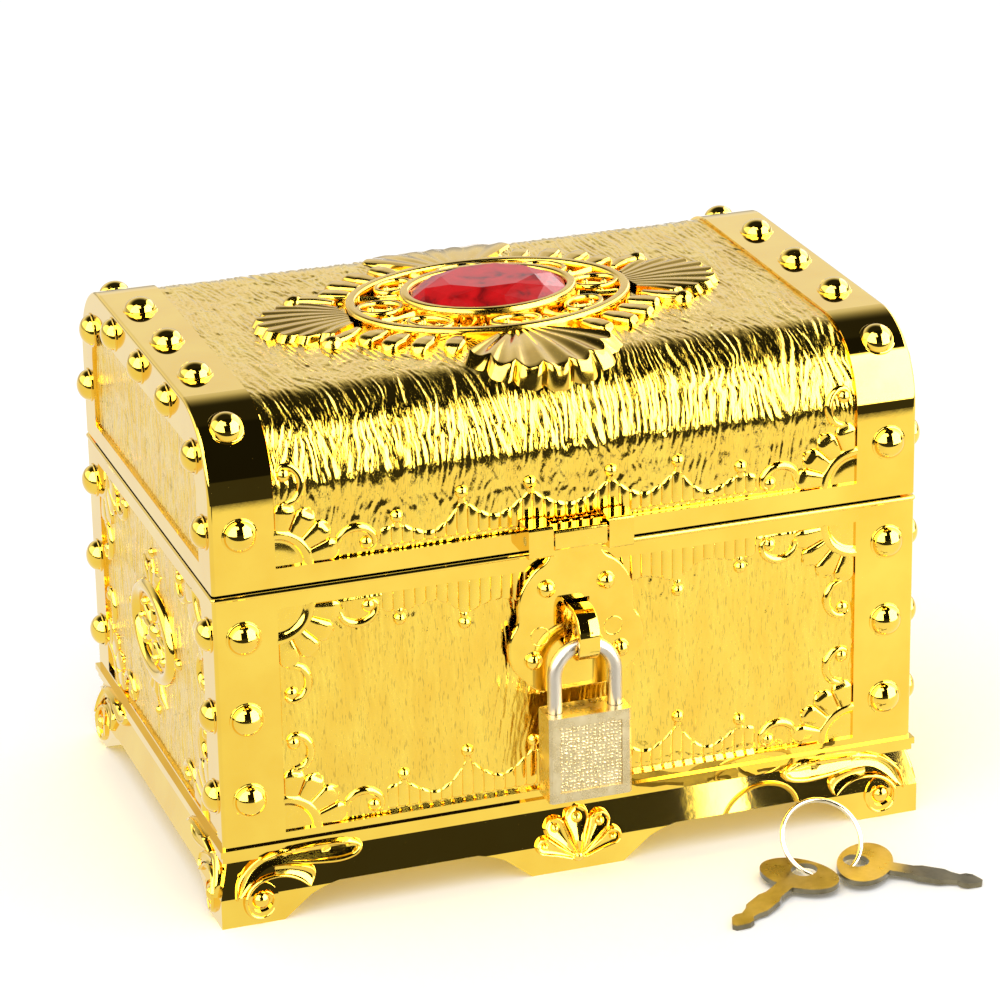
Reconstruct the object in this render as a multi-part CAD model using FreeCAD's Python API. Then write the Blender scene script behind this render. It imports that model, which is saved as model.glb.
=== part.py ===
import FreeCAD, Part
import math
import os

V = FreeCAD.Vector
RIGHT = V(1, 0, 0)
BACK = V(0, 1, 0)
UP = V(0, 0, 1)
SIDES = (-1, 1)

# A gold treasure chest box with a domed lid, an ogee-footed base, a jewelled lid
# medallion, and a hasp held by a small padlock. Millimetres; the floor is z = 0, the
# length lies along X and the front faces -Y. The pieces are worked out about the middle
# of the base, and the whole set, with its keys, is then centred on the origin.

# Overall sizes
body_length = 160.0
body_depth = 106.0
base_height = 18.0
parting_height = 76.5
lid_top_height = 115.0
parting_gap = 0.6
wall = 2.4
overrun = 4.0

# Moulded straps, bands and recessed panels
strap_width = 14.0
end_strap_width = 9.5
rim_band = 4.2
foot_band = 2.0
panel_recess = 1.0
corner_round = 0.8
lid_curve_radius = 18.0

# Dome studs
stud_radius = 3.5
stud_height = 2.5
stud_flange_radius = 3.9
stud_flange_height = 0.3
box_stud_rows = 3
box_stud_drop = 10.0
box_stud_rise = 10.8
lid_stud_rise = 12.7
lid_stud_turn_deg = 52.0
lid_top_stud_spacing = 22.5
strap_stud_inset = 6.5
end_stud_inset = 5.0
end_shoulder_inset = 10.5

# Base
ledge_height = 1.5
ledge_reach = 0.8
step_height = 1.5
step_reach = 0.3
skirt_top_inset = 1.1
skirt_reach = 1.3
foot_height = 6.8
base_wall = 3.2
base_deck = 3.0
arch_height = 7.2
corner_foot_length = 14.0
end_foot_length = 9.0
centre_foot_width = 21.4
ogee_slant_run = 6.2
ogee_slant_rise = 5.0
ogee_run = 12.4
screw_inset = 12.0
screw_radius = 1.4
screw_length = 5.2
screw_head_radius = 2.8
screw_head_height = 1.6
screw_clearance = 0.2
screw_slot_width = 0.8
screw_slot_depth = 0.7
boss_radius = 4.0
boss_height = 4.0

# Rear hinges
hinge_position = 45.0
knuckle_radius = 2.8
knuckle_clearance = 0.3
lid_knuckle_length = 8.0
box_knuckle_length = 5.0
knuckle_side_gap = 0.4
hinge_pin_radius = 1.0
hinge_pin_head_radius = 1.9
hinge_pin_head_length = 0.6
fixed_pin_clearance = 0.02
running_pin_clearance = 0.08

# Carved relief on the box, the lid's rim and the base
relief_root = 0.5
sun_radius = 8.2
sun_eye_radius = 6.4
sun_eye_height = 0.25
sun_ring_height = 0.7
sun_petals = 4
sun_petal_length = 7.2
sun_petal_half_width = 1.6
sun_petal_height = 0.7
sun_petal_overlap = 0.8
sun_petal_margin_deg = 12.5
curl_place = 17.9
curl_inset = 2.4
curl_radius = 4.5
curl_width = 1.2
curl_height = 0.6
curl_bead_radius = 1.1
curl_bead_offset = 2.4
rosette_length = 32.0
rosette_height = 22.0
rosette_rise = 1.5
rosette_ring_width = 2.4
rosette_ring_height = 1.1
rosette_field_height = 0.3
rosette_beads = 8
rosette_bead_radius = 0.9
rosette_bead_reach_share = 0.38
rosette_boss_radius = 1.5
spray_leaf_length = 7.0
spray_leaf_half_width = 1.2
spray_leaf_height = 0.7
spray_leaf_turns_deg = (-32.0, 0.0, 32.0)
base_relief = 0.6
volute_place = 8.9
volute_height = 5.8
volute_radius = 3.9
volute_width = 1.1
volute_eye_radius = 1.7
base_leaf_place = 17.6
base_leaf_height = 13.4
base_leaf_length = 27.0
base_leaf_half_width = 1.5
base_leaf_turn_deg = 8.0
base_tongue_place = 16.4
base_tongue_height = 10.2
base_tongue_length = 8.4
base_tongue_half_width = 1.2
base_tongue_turn_deg = -8.0
end_scroll_share = 0.8
palmette_root = 3.0
palmette_lengths = (11.4, 10.6, 8.4)
palmette_half_widths = (1.5, 1.2, 0.8)
palmette_turns_deg = (0.0, 32.0, 58.0)

# Lid medallion
medallion_seat_thickness = 1.0
ring_length = 65.0
ring_depth = 48.0
ring_width = 2.4
ring_height = 3.4
bezel_width = 2.2
bezel_height = 4.0
bezel_clearance = 0.3
leaf_height = 2.6
leaf_half_width = 1.75
fan_ribs = 9
side_fan_root = 25.0
side_fan_length = 28.5
side_fan_side_length = 18.0
side_fan_spread_deg = 96.0
front_fan_root = 15.0
front_fan_length = 31.0
front_fan_side_length = 22.0
front_fan_spread_deg = 128.0
corner_leaves = 4
corner_leaf_length = 9.5
corner_leaf_half_width = 1.6
corner_leaf_first_deg = 24.0
corner_leaf_step_deg = 11.0

# Gem, an oval brilliant with eight-fold facets
gem_length = 35.5
gem_depth = 26.5
gem_girdle_rise = 2.0
gem_girdle_height = 0.5
gem_crown_height = 3.2
gem_mid_rise_share = 0.62
gem_mid_reach_share = 0.83
gem_table_share = 0.60
gem_foot_share = 0.74
gem_folds = 8

# Hasp
hasp_pin_rise = 3.5
hasp_pin_reach = 3.2
hasp_pin_radius = 1.0
hasp_knuckle_half_width = 2.3
hasp_knuckle_round = 0.6
hasp_knuckle_length = 11.8
hasp_side_gap = 0.4
ear_width = 5.6
ear_height = 7.0
ear_depth = 5.7
ear_round = 0.6
plate_thickness = 1.2
plate_gap = 0.8
plate_edge_round = 0.45
plate_half_width = 15.5
plate_length = 36.3
plate_slot_clearance = 0.6
plate_outline_shares = (
    (0.38, 1.0), (0.38, 0.885), (0.43, 0.84), (0.54, 0.805),
    (0.80, 0.665), (0.85, 0.50), (0.87, 0.455), (0.93, 0.41),
    (1.0, 0.28), (0.76, 0.085), (0.60, 0.02), (0.40, 0.0),
)
hasp_stud_radius = 1.9
hasp_stud_height = 1.5
hasp_stud_flange_radius = 2.1
hasp_stud_upper_x = 6.8
hasp_stud_upper_rise = 24.1
hasp_stud_lower_x = 10.0
hasp_stud_lower_rise = 7.8

# Staple on the box, a bent strip that passes through the hasp
staple_width = 4.7
staple_strip = 1.2
staple_rise = 8.6
staple_height = 11.8
staple_reach = 10.5
staple_tab_length = 4.0
staple_bend_radius = 4.0
staple_slot_clearance = 0.05

# Padlock
shackle_reach = 6.6
shackle_rod_radius = 1.6
shackle_spread = 13.8
shackle_top_clearance = 0.3
shackle_height = 14.9
case_width = 18.9
case_thickness = 7.7
case_height = 20.0
case_edge = 0.6
case_border = 2.3
case_panel_recess = 0.35
leg_clearance = 0.15
long_leg_depth = 15.2
short_leg_depth = 7.0
leg_hole_spare = 1.0
notch_depth = 1.3
notch_height = 3.0
notch_drop = 2.6
plug_radius = 2.5
plug_clearance = 0.08
plug_length = 13.6
keyway_width = 1.3
keyway_length = 4.2
keyway_depth = 11.0
plug_pin_radius = 0.6
plug_pin_offset = 1.2
plug_pin_height = 2.2
latch_half_width = 2.3
latch_thickness = 2.0
latch_tail = 2.8
latch_travel = 1.2
latch_tip_gap = 0.3
latch_clearance = 0.2
latch_slot_half_width = 0.95
latch_slot_half_length = 1.95

# Keys and their ring, lying on the floor in front of the chest
key_thickness = 1.2
key_bow_length = 12.0
key_bow_width = 19.0
key_hole_radius = 2.85
key_hole_offset = 2.0
key_blade_length = 26.0
key_blade_half_width = 2.7
key_blade_shares = (
    (0.17, 0.74), (0.40, 0.74), (0.47, 1.0), (0.66, 1.0), (0.72, 0.70),
    (0.80, 0.55), (0.845, 0.88), (0.90, 0.88), (0.97, 0.44), (1.0, 0.20),
)
key_place_x = 50.0
key_distance = 26.0
key_turn_degs = (-55.0, 55.0)
key_spacing = 15.4
key_lift = 1.5
key_floor_gap = 0.05
key_ring_radius = 9.0
key_ring_wire_radius = 0.55
key_ring_tilt_deg = 46.0
key_ring_setback = 5.9

# Places worked out from the sizes above
half_length = body_length / 2
half_depth = body_depth / 2
box_top = parting_height - parting_gap / 2
lid_bottom = parting_height + parting_gap / 2
panel_half_length = half_length - strap_width
end_panel_half_depth = half_depth - end_strap_width
hinge_y = half_depth + knuckle_radius + knuckle_clearance
deck_top = lid_top_height - panel_recess
gem_foot_height = deck_top + medallion_seat_thickness
lid_stud_height = lid_bottom + lid_stud_rise
hasp_pin_y = -half_depth - hasp_pin_reach
hasp_pin_height = lid_bottom + hasp_pin_rise
plate_bottom_height = hasp_pin_height - plate_length
plate_back = -half_depth - plate_gap
plate_front = plate_back - plate_thickness
ear_inner = hasp_knuckle_length / 2 + hasp_side_gap
staple_front = -half_depth - staple_reach
staple_bottom_height = plate_bottom_height + staple_rise
staple_top_height = staple_bottom_height + staple_height
shackle_y = -half_depth - shackle_reach
shackle_bend = shackle_spread / 2
half_staple = staple_width / 2
bend_drop = shackle_bend - math.sqrt(shackle_bend ** 2 - half_staple ** 2)
shackle_axis_height = (
    staple_bottom_height + staple_strip + shackle_top_clearance + shackle_rod_radius + bend_drop
)
shackle_bend_height = shackle_axis_height - shackle_bend
case_top_height = shackle_axis_height - shackle_height
case_bottom_height = case_top_height - case_height
key_place_y = -half_depth - key_distance


def block(x0, x1, y0, y1, z0, z1):
    """A box between two opposite corners."""
    return Part.makeBox(x1 - x0, y1 - y0, z1 - z0, V(x0, y0, z0))


def rod(start, direction, radius, length):
    """A round bar from a point along a direction."""
    return Part.makeCylinder(radius, length, start, direction)


def fuse_all(shapes):
    """One clean solid from overlapping shapes."""
    return shapes[0].multiFuse(shapes[1:]).removeSplitter()


def prism(points, travel):
    """A straight-sided outline pushed along a vector."""
    return Part.Face(Part.makePolygon(points + points[:1])).extrude(travel)


def oval(length, depth, z0, z1):
    """An upright oval block about the vertical axis."""
    edge = Part.Ellipse(V(0, 0, z0), length / 2, depth / 2).toShape()
    return Part.Face(Part.Wire(edge)).extrude(UP * (z1 - z0))


def edges_along(shape, direction):
    """The straight edges of a shape that run along a direction."""
    found = []
    for edge in shape.Edges:
        span = edge.Vertexes[-1].Point - edge.Vertexes[0].Point
        if span.Length > 0 and span.cross(direction).Length < span.Length / body_length:
            found.append(edge)
    return found


def lid_block(offset, half_span, bottom):
    """The domed lid's cross-section, offset outwards, pushed along the length."""
    side = half_depth + offset
    top = lid_top_height + offset
    radius = lid_curve_radius + offset
    turn = math.sqrt(0.5) * radius
    start = V(-half_span, 0, 0)
    edges = []

    def at(y, z):
        return start + V(0, y, z)

    edges.append(Part.LineSegment(at(-side, bottom), at(-side, top - radius)))
    front_mid = at(-side + radius - turn, top - radius + turn)
    edges.append(Part.Arc(at(-side, top - radius), front_mid, at(-side + radius, top)))
    edges.append(Part.LineSegment(at(-side + radius, top), at(side - radius, top)))
    back_mid = at(side - radius + turn, top - radius + turn)
    edges.append(Part.Arc(at(side - radius, top), back_mid, at(side, top - radius)))
    edges.append(Part.LineSegment(at(side, top - radius), at(side, bottom)))
    edges.append(Part.LineSegment(at(side, bottom), at(-side, bottom)))
    outline = Part.Wire([edge.toShape() for edge in edges])
    return Part.Face(outline).extrude(RIGHT * (2 * half_span))


def knuckle(centre, length, rise):
    """A hinge barrel behind the back wall, with an arm to the wall on its own side."""
    x0 = centre - length / 2
    barrel = rod(V(x0, hinge_y, parting_height), RIGHT, knuckle_radius, length)
    low = min(parting_height, parting_height + rise)
    high = max(parting_height, parting_height + rise)
    arm = block(x0, x0 + length, half_depth, hinge_y, low, high)
    return barrel.fuse(arm)


def pin_bores(clearance):
    """The holes of both rear hinges, with a given clearance on the pin."""
    reach = lid_knuckle_length + 2 * box_knuckle_length
    bores = []
    for side in SIDES:
        start = V(side * hinge_position - reach, hinge_y, parting_height)
        bores.append(rod(start, RIGHT, hinge_pin_radius + clearance, 2 * reach))
    return bores


def screw_places():
    """The four screw positions under the corners of the box."""
    x = half_length - screw_inset
    y = half_depth - screw_inset
    return [(sx * x, sy * y) for sx in SIDES for sy in SIDES]


def staple_strip_profile(inset):
    """Half-open outline of the bent strip, seen from the side, grown by a clearance."""
    inside = -half_depth + wall
    tab_back = inside + staple_strip
    strip = staple_strip
    low = staple_bottom_height
    high = staple_top_height
    return [
        V(0, tab_back + inset, high + staple_tab_length), V(0, inside, high + staple_tab_length),
        V(0, inside, high + inset), V(0, staple_front, high + inset),
        V(0, staple_front, low - inset), V(0, inside, low - inset),
        V(0, inside, low - staple_tab_length), V(0, tab_back + inset, low - staple_tab_length),
        V(0, tab_back + inset, low + strip + inset), V(0, staple_front + strip, low + strip + inset),
        V(0, staple_front + strip, high - strip - inset), V(0, tab_back + inset, high - strip - inset),
    ]


def lock_staple():
    """The bent strip whose loop the shackle hangs in, clinched inside the front wall."""
    points = [point + V(-half_staple, 0, 0) for point in staple_strip_profile(0)]
    strip = prism(points, RIGHT * staple_width)
    outer, inner = [], []
    for edge in edges_along(strip, RIGHT):
        reach = edge.CenterOfMass.y - staple_front
        if reach < staple_strip / 2:
            outer.append(edge)
        elif reach < staple_strip * 3 / 2:
            inner.append(edge)
    corners = [edge.CenterOfMass for edge in inner]
    strip = strip.makeFillet(staple_bend_radius, outer)
    inner = []
    for edge in edges_along(strip, RIGHT):
        for corner in corners:
            if (edge.CenterOfMass - corner).Length < staple_strip / 2:
                inner.append(edge)
    return strip.makeFillet(staple_bend_radius - staple_strip, inner)


def staple_slots():
    """The two slots in the front wall that the strip passes through."""
    grow = staple_slot_clearance
    x0, x1 = -half_staple - grow, half_staple + grow
    y0, y1 = -half_depth - overrun, -half_depth + wall
    strip = staple_strip + grow
    upper = block(x0, x1, y0, y1, staple_top_height - strip, staple_top_height + grow)
    lower = block(x0, x1, y0, y1, staple_bottom_height - grow, staple_bottom_height + strip)
    return [upper, lower]


def flat_leaf(length, half_width, height):
    """A leaf-shaped block that lies along X from the origin, standing up from a panel."""
    edge = Part.Ellipse(V(length / 2, 0, -relief_root), length / 2, half_width).toShape()
    return Part.Face(Part.Wire(edge)).extrude(UP * (relief_root + height))


def curl():
    """A C-scroll beside a panel's edge, which lies along X."""
    root = V(curl_place, curl_inset, -relief_root)
    height = relief_root + curl_height
    arc = Part.makeCylinder(curl_radius, height, root, UP, 180)
    arc = arc.cut(rod(root, UP, curl_radius - curl_width, height))
    bead = rod(root + RIGHT * curl_bead_offset, UP, curl_bead_radius, height)
    return arc.fuse(bead)


def sun(scroll_edges):
    """A quarter sun in a panel's corner, with scrolls along the X edge (0) or the Y edge (1)."""
    root = V(0, 0, -relief_root)
    disc = Part.makeCylinder(sun_radius, relief_root + sun_ring_height, root, UP, 90)
    disc = disc.cut(rod(UP * sun_eye_height, UP, sun_eye_radius, overrun))
    parts = [disc]
    step = (90 - 2 * sun_petal_margin_deg) / (sun_petals - 1)
    for number in range(sun_petals):
        petal = flat_leaf(sun_petal_length, sun_petal_half_width, sun_petal_height)
        petal.translate(RIGHT * (sun_radius - sun_petal_overlap))
        petal.rotate(V(0, 0, 0), UP, sun_petal_margin_deg + number * step)
        parts.append(petal)
    for edge in scroll_edges:
        scroll = curl()
        if edge:
            scroll = scroll.mirror(V(0, 0, 0), V(1, -1, 0))
        parts.append(scroll)
    return fuse_all(parts)


def corner_suns(half_width, low, high):
    """Suns in the four corners of an upright panel, still lying in the XY plane."""
    shape = sun((0, 1))
    corners = ((-half_width, low), (half_width, low), (half_width, high), (-half_width, high))
    suns = []
    for number, (x, y) in enumerate(corners):
        copy = shape.copy()
        copy.rotate(V(0, 0, 0), UP, 90 * number)
        copy.translate(V(x, y, 0))
        suns.append(copy)
    return suns


def rosette(middle):
    """The oval rosette of an end panel with its leaf sprays, lying in the XY plane."""
    field = oval(rosette_length, rosette_height, -relief_root, rosette_ring_height)
    inner_length = rosette_length - 2 * rosette_ring_width
    inner_height = rosette_height - 2 * rosette_ring_width
    field = field.cut(oval(inner_length, inner_height, rosette_field_height, rosette_ring_height + overrun))
    parts = [field, Part.makeSphere(rosette_boss_radius, UP * rosette_field_height)]
    for number in range(rosette_beads):
        turn = 2 * math.pi * number / rosette_beads
        x = inner_length * rosette_bead_reach_share * math.cos(turn)
        y = inner_height * rosette_bead_reach_share * math.sin(turn)
        parts.append(Part.makeSphere(rosette_bead_radius, V(x, y, rosette_field_height)))
    for side in SIDES:
        for turn_deg in spray_leaf_turns_deg:
            leaf_block = flat_leaf(spray_leaf_length, spray_leaf_half_width, spray_leaf_height)
            leaf_block.rotate(V(0, 0, 0), UP, 90 * side + turn_deg)
            leaf_block.translate(V(0, side * (rosette_height - rosette_ring_width) / 2, 0))
            parts.append(leaf_block)
    shape = fuse_all(parts)
    shape.translate(V(0, middle + rosette_rise, 0))
    return shape


def stand(shapes, distance, turn_deg):
    """Shapes from the XY plane stood up on a wall, which a turn about Z picks."""
    stood = []
    for shape in shapes:
        copy = shape.copy()
        copy.rotate(V(0, 0, 0), RIGHT, 90)
        copy.translate(BACK * -distance)
        copy.rotate(V(0, 0, 0), UP, turn_deg)
        stood.append(copy)
    return stood


def box_relief():
    """The carved suns and rosettes on the four panels of the box."""
    low, high = base_height + foot_band, box_top - rim_band
    long_side = corner_suns(panel_half_length, low, high)
    short_side = corner_suns(end_panel_half_depth, low, high) + [rosette((low + high) / 2)]
    relief = []
    for half_turn in (0, 180):
        relief += stand(long_side, half_depth - panel_recess, half_turn)
        relief += stand(short_side, half_length - panel_recess, half_turn + 90)
    return relief


def lid_relief():
    """The carved suns above the lid's rim at the front and back."""
    suns = [sun((0,)), sun((1,))]
    suns[1].rotate(V(0, 0, 0), UP, 90)
    for side, shape in zip(SIDES, suns):
        shape.translate(V(side * panel_half_length, lid_bottom + rim_band, 0))
    relief = []
    for half_turn in (0, 180):
        relief += stand(suns, half_depth - panel_recess, half_turn)
    return relief


def box_shell():
    """The open box: walls, floor, recessed panels, screw bosses and hinge barrels."""
    body = block(-half_length, half_length, -half_depth, half_depth, base_height, box_top)
    body = body.makeFillet(corner_round, edges_along(body, UP))
    inner_x, inner_y = half_length - wall, half_depth - wall
    floor = base_height + wall
    body = body.cut(block(-inner_x, inner_x, -inner_y, inner_y, floor, box_top + overrun))
    panel_low, panel_high = base_height + foot_band, box_top - rim_band
    cuts = []
    for side in SIDES:
        y0, y1 = sorted((side * (half_depth + overrun), side * (half_depth - panel_recess)))
        cuts.append(block(-panel_half_length, panel_half_length, y0, y1, panel_low, panel_high))
        x0, x1 = sorted((side * (half_length + overrun), side * (half_length - panel_recess)))
        cuts.append(block(x0, x1, -end_panel_half_depth, end_panel_half_depth, panel_low, panel_high))
    body = body.cut(cuts)
    added = [body] + box_relief()
    for x, y in screw_places():
        added.append(rod(V(x, y, floor), UP, boss_radius, boss_height))
    step = lid_knuckle_length / 2 + knuckle_side_gap + box_knuckle_length / 2
    for side in SIDES:
        for end in SIDES:
            added.append(knuckle(side * hinge_position + end * step, box_knuckle_length, -rim_band))
    body = fuse_all(added)
    pilots = []
    for x, y in screw_places():
        pilots.append(rod(V(x, y, base_height - overrun), UP, screw_radius, screw_length + overrun))
    return body.cut(pilots + pin_bores(fixed_pin_clearance) + staple_slots())


def lid_shell():
    """The hollow domed lid with its straps, recessed panels and hinge barrels."""
    body = lid_block(0, half_length, lid_bottom)
    rims = []
    for edge in body.Edges:
        ends = [vertex.Point.x for vertex in edge.Vertexes]
        at_end = max(ends) - min(ends) < wall and abs(abs(ends[0]) - half_length) < wall
        if at_end and edge.BoundBox.ZMax > lid_bottom + rim_band:
            rims.append(edge)
    body = body.makeFillet(corner_round, rims)
    body = body.cut(lid_block(-wall, half_length - wall, lid_bottom - overrun))
    skin = lid_block(overrun, panel_half_length, lid_bottom + rim_band)
    skin = skin.cut(lid_block(-panel_recess, panel_half_length, lid_bottom - overrun))
    cuts = [skin]
    for side in SIDES:
        pocket = lid_block(-end_strap_width, panel_recess, lid_bottom + rim_band)
        pocket.translate(RIGHT * (side * half_length))
        cuts.append(pocket)
    added = [body.cut(cuts)] + lid_relief()
    for side in SIDES:
        added.append(knuckle(side * hinge_position, lid_knuckle_length, rim_band))
    return fuse_all(added).cut(pin_bores(running_pin_clearance))


def hinge_pins():
    """The two headed pins of the rear hinges."""
    reach = lid_knuckle_length / 2 + knuckle_side_gap + box_knuckle_length
    pins = []
    for side in SIDES:
        start = V(side * hinge_position - reach, hinge_y, parting_height)
        shank = rod(start, RIGHT, hinge_pin_radius, 2 * reach)
        head_start = start - RIGHT * hinge_pin_head_length
        head = rod(head_start, RIGHT, hinge_pin_head_radius, hinge_pin_head_length)
        pins.append(fuse_all([shank, head]))
    return Part.makeCompound(pins)


def dome(radius, height, flange_radius, flange_height, sink):
    """A domed stud standing on the plane z = 0, with a root below it."""
    ball = (radius ** 2 + height ** 2) / (2 * height)
    half_angle = math.asin(radius / ball) / 2
    mid = V(ball * math.sin(half_angle), 0, height + flange_height - ball + ball * math.cos(half_angle))
    rim = V(radius, 0, flange_height)
    top = V(0, 0, height + flange_height)
    corners = [rim, V(flange_radius, 0, flange_height), V(flange_radius, 0, -sink), V(0, 0, -sink), top]
    edges = [Part.makeLine(a, b) for a, b in zip(corners, corners[1:])]
    edges.append(Part.Arc(top, mid, rim).toShape())
    return Part.Face(Part.Wire(edges)).revolve(V(0, 0, 0), UP, 360)


def place(shape, position, normal):
    """A copy of a shape moved to a position, with its Z axis along a normal."""
    copy = shape.copy()
    copy.Placement = FreeCAD.Placement(position, FreeCAD.Rotation(UP, normal))
    return copy


def box_stud_places():
    """Positions and outward normals of the studs on the four corner straps of the box."""
    places = []
    low, high = base_height + box_stud_rise, box_top - box_stud_drop
    for row in range(box_stud_rows):
        z = low + (high - low) * row / (box_stud_rows - 1)
        for side in SIDES:
            for end in SIDES:
                x = end * (half_length - strap_stud_inset)
                places.append((V(x, side * half_depth, z), BACK * side))
                y = end * (half_depth - end_stud_inset)
                places.append((V(side * half_length, y, z), RIGHT * side))
    return places


def lid_strap_stud_places():
    """Positions and normals of the studs along the two straps over the lid."""
    turn = math.radians(lid_stud_turn_deg)
    curve_y = half_depth - lid_curve_radius
    curve_z = lid_top_height - lid_curve_radius
    places = []
    for end in SIDES:
        x = end * (half_length - strap_stud_inset)
        for step in (-1, 0, 1):
            places.append((V(x, step * lid_top_stud_spacing, lid_top_height), UP))
        for side in SIDES:
            normal = V(0, side * math.cos(turn), math.sin(turn))
            on_curve = V(x, side * curve_y, curve_z) + normal * lid_curve_radius
            places.append((on_curve, normal))
            places.append((V(x, side * half_depth, lid_stud_height), BACK * side))
    return places


def lid_end_stud_places():
    """Positions and normals of the studs round the two ends of the lid."""
    top = lid_top_height - end_stud_inset
    shoulder = lid_top_height - end_shoulder_inset
    spots = [(0, top)]
    for side in SIDES:
        spots.append((side * lid_top_stud_spacing, top))
        spots.append((side * (half_depth - end_shoulder_inset), shoulder))
        spots.append((side * (half_depth - end_stud_inset), lid_stud_height))
    return [(V(end * half_length, y, z), RIGHT * end) for end in SIDES for y, z in spots]


def studs(places):
    """Domed studs at many places, as separate solids."""
    shape = dome(stud_radius, stud_height, stud_flange_radius, stud_flange_height, 0)
    return [place(shape, position, normal) for position, normal in places]


def box_studs():
    """The studs on the straps of the box."""
    return Part.makeCompound(studs(box_stud_places()))


def lid_studs():
    """The studs on the lid; those on the curve are hollowed to fit it."""
    shape = dome(stud_radius, stud_height, stud_flange_radius, stud_flange_height, stud_flange_height * 2)
    solid = lid_block(0, half_length, lid_bottom)
    seated = [place(shape, p, n).cut(solid) for p, n in lid_strap_stud_places()]
    return Part.makeCompound(seated + studs(lid_end_stud_places()))


def rectangle(reach, z):
    """A rectangular wire round the body at a height, reaching out past its sides."""
    x, y = half_length + reach, half_depth + reach
    corners = [V(-x, -y, z), V(x, -y, z), V(x, y, z), V(-x, y, z)]
    return Part.makePolygon(corners + corners[:1])


def foot_edge(x, direction):
    """One foot's ogee from the floor up to the arch, as edges in the XZ plane."""
    low = V(x, 0, 0)
    knee = V(x + direction * ogee_slant_run, 0, ogee_slant_rise)
    top = V(x + direction * ogee_run, 0, arch_height)
    mid_x = x + direction * (ogee_slant_run + ogee_run) / 2
    chord_mid = (ogee_slant_rise + arch_height) / 2
    bulge = (arch_height - ogee_slant_rise) * (ogee_run - ogee_slant_run) / (4 * ogee_run)
    return low, knee, V(mid_x, 0, chord_mid + bulge), top


def arch(x0, x1, depth):
    """The opening between two feet, from one foot's end to the next, centred in depth."""
    low0, knee0, mid0, top0 = foot_edge(x0, 1)
    low1, knee1, mid1, top1 = foot_edge(x1, -1)
    drop = UP * -overrun
    edges = [
        Part.makeLine(low0 + drop, low0), Part.makeLine(low0, knee0), Part.Arc(knee0, mid0, top0).toShape(),
        Part.makeLine(top0, top1), Part.Arc(top1, mid1, knee1).toShape(), Part.makeLine(knee1, low1),
        Part.makeLine(low1, low1 + drop), Part.makeLine(low1 + drop, low0 + drop),
    ]
    cutter = Part.Face(Part.Wire(edges)).extrude(BACK * depth)
    cutter.translate(BACK * (-depth / 2))
    return cutter


def upright_leaf(place, height, length, half_width, turn_deg, depth):
    """A leaf-shaped bar through the base, seen from the front at a place and height."""
    edge = Part.Ellipse(V(0, 0, 0), length / 2, half_width).toShape()
    bar = Part.Face(Part.Wire(edge)).extrude(UP * depth)
    bar.translate(UP * (-depth / 2))
    bar.rotate(V(0, 0, 0), UP, turn_deg)
    bar.rotate(V(0, 0, 0), RIGHT, 90)
    bar.translate(V(place, 0, height))
    return bar


def volute_bars(half, share, depth):
    """Bars through the base whose ends are the scrolls of its corner feet."""
    bars = []
    for side in SIDES:
        start = V(side * (half - share * volute_place), -depth / 2, volute_height)
        ring = rod(start, BACK, volute_radius, depth)
        ring = ring.cut(rod(start, BACK, volute_radius - volute_width, depth))
        bars += [ring, rod(start, BACK, volute_eye_radius, depth)]
        bars.append(upright_leaf(
            side * (half - share * base_leaf_place), base_leaf_height, share * base_leaf_length,
            base_leaf_half_width, -side * base_leaf_turn_deg, depth,
        ))
        bars.append(upright_leaf(
            side * (half - share * base_tongue_place), base_tongue_height, share * base_tongue_length,
            base_tongue_half_width, -side * base_tongue_turn_deg, depth,
        ))
    return bars


def palmette_bars(depth):
    """Bars through the base whose ends are the palmettes of its middle feet."""
    bars = []
    for length, half_width, turn_deg in zip(palmette_lengths, palmette_half_widths, palmette_turns_deg):
        for side in SIDES if turn_deg else SIDES[1:]:
            turn = math.radians(turn_deg)
            x = side * length / 2 * math.sin(turn)
            z = palmette_root + length / 2 * math.cos(turn)
            bars.append(upright_leaf(x, z, length, half_width, 90 - side * turn_deg, depth))
    return bars


def base_relief_bars(skirt_top):
    """The carved scrolls and palmettes, cut from a slightly larger skirt."""
    grown = Part.makeLoft([
        rectangle(skirt_reach + base_relief, foot_height),
        rectangle(base_relief - skirt_top_inset, skirt_top),
    ], True, True)
    grown = grown.fuse(Part.Face(rectangle(skirt_reach + base_relief, 0)).extrude(UP * foot_height))
    depth = body_depth + 2 * (skirt_reach + overrun)
    length = body_length + 2 * (skirt_reach + overrun)
    bars = volute_bars(half_length + skirt_reach, 1, depth) + palmette_bars(depth)
    for bar in volute_bars(half_depth + skirt_reach, end_scroll_share, length):
        bar.rotate(V(0, 0, 0), UP, 90)
        bars.append(bar)
    return [bar.common(grown) for bar in bars]


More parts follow.
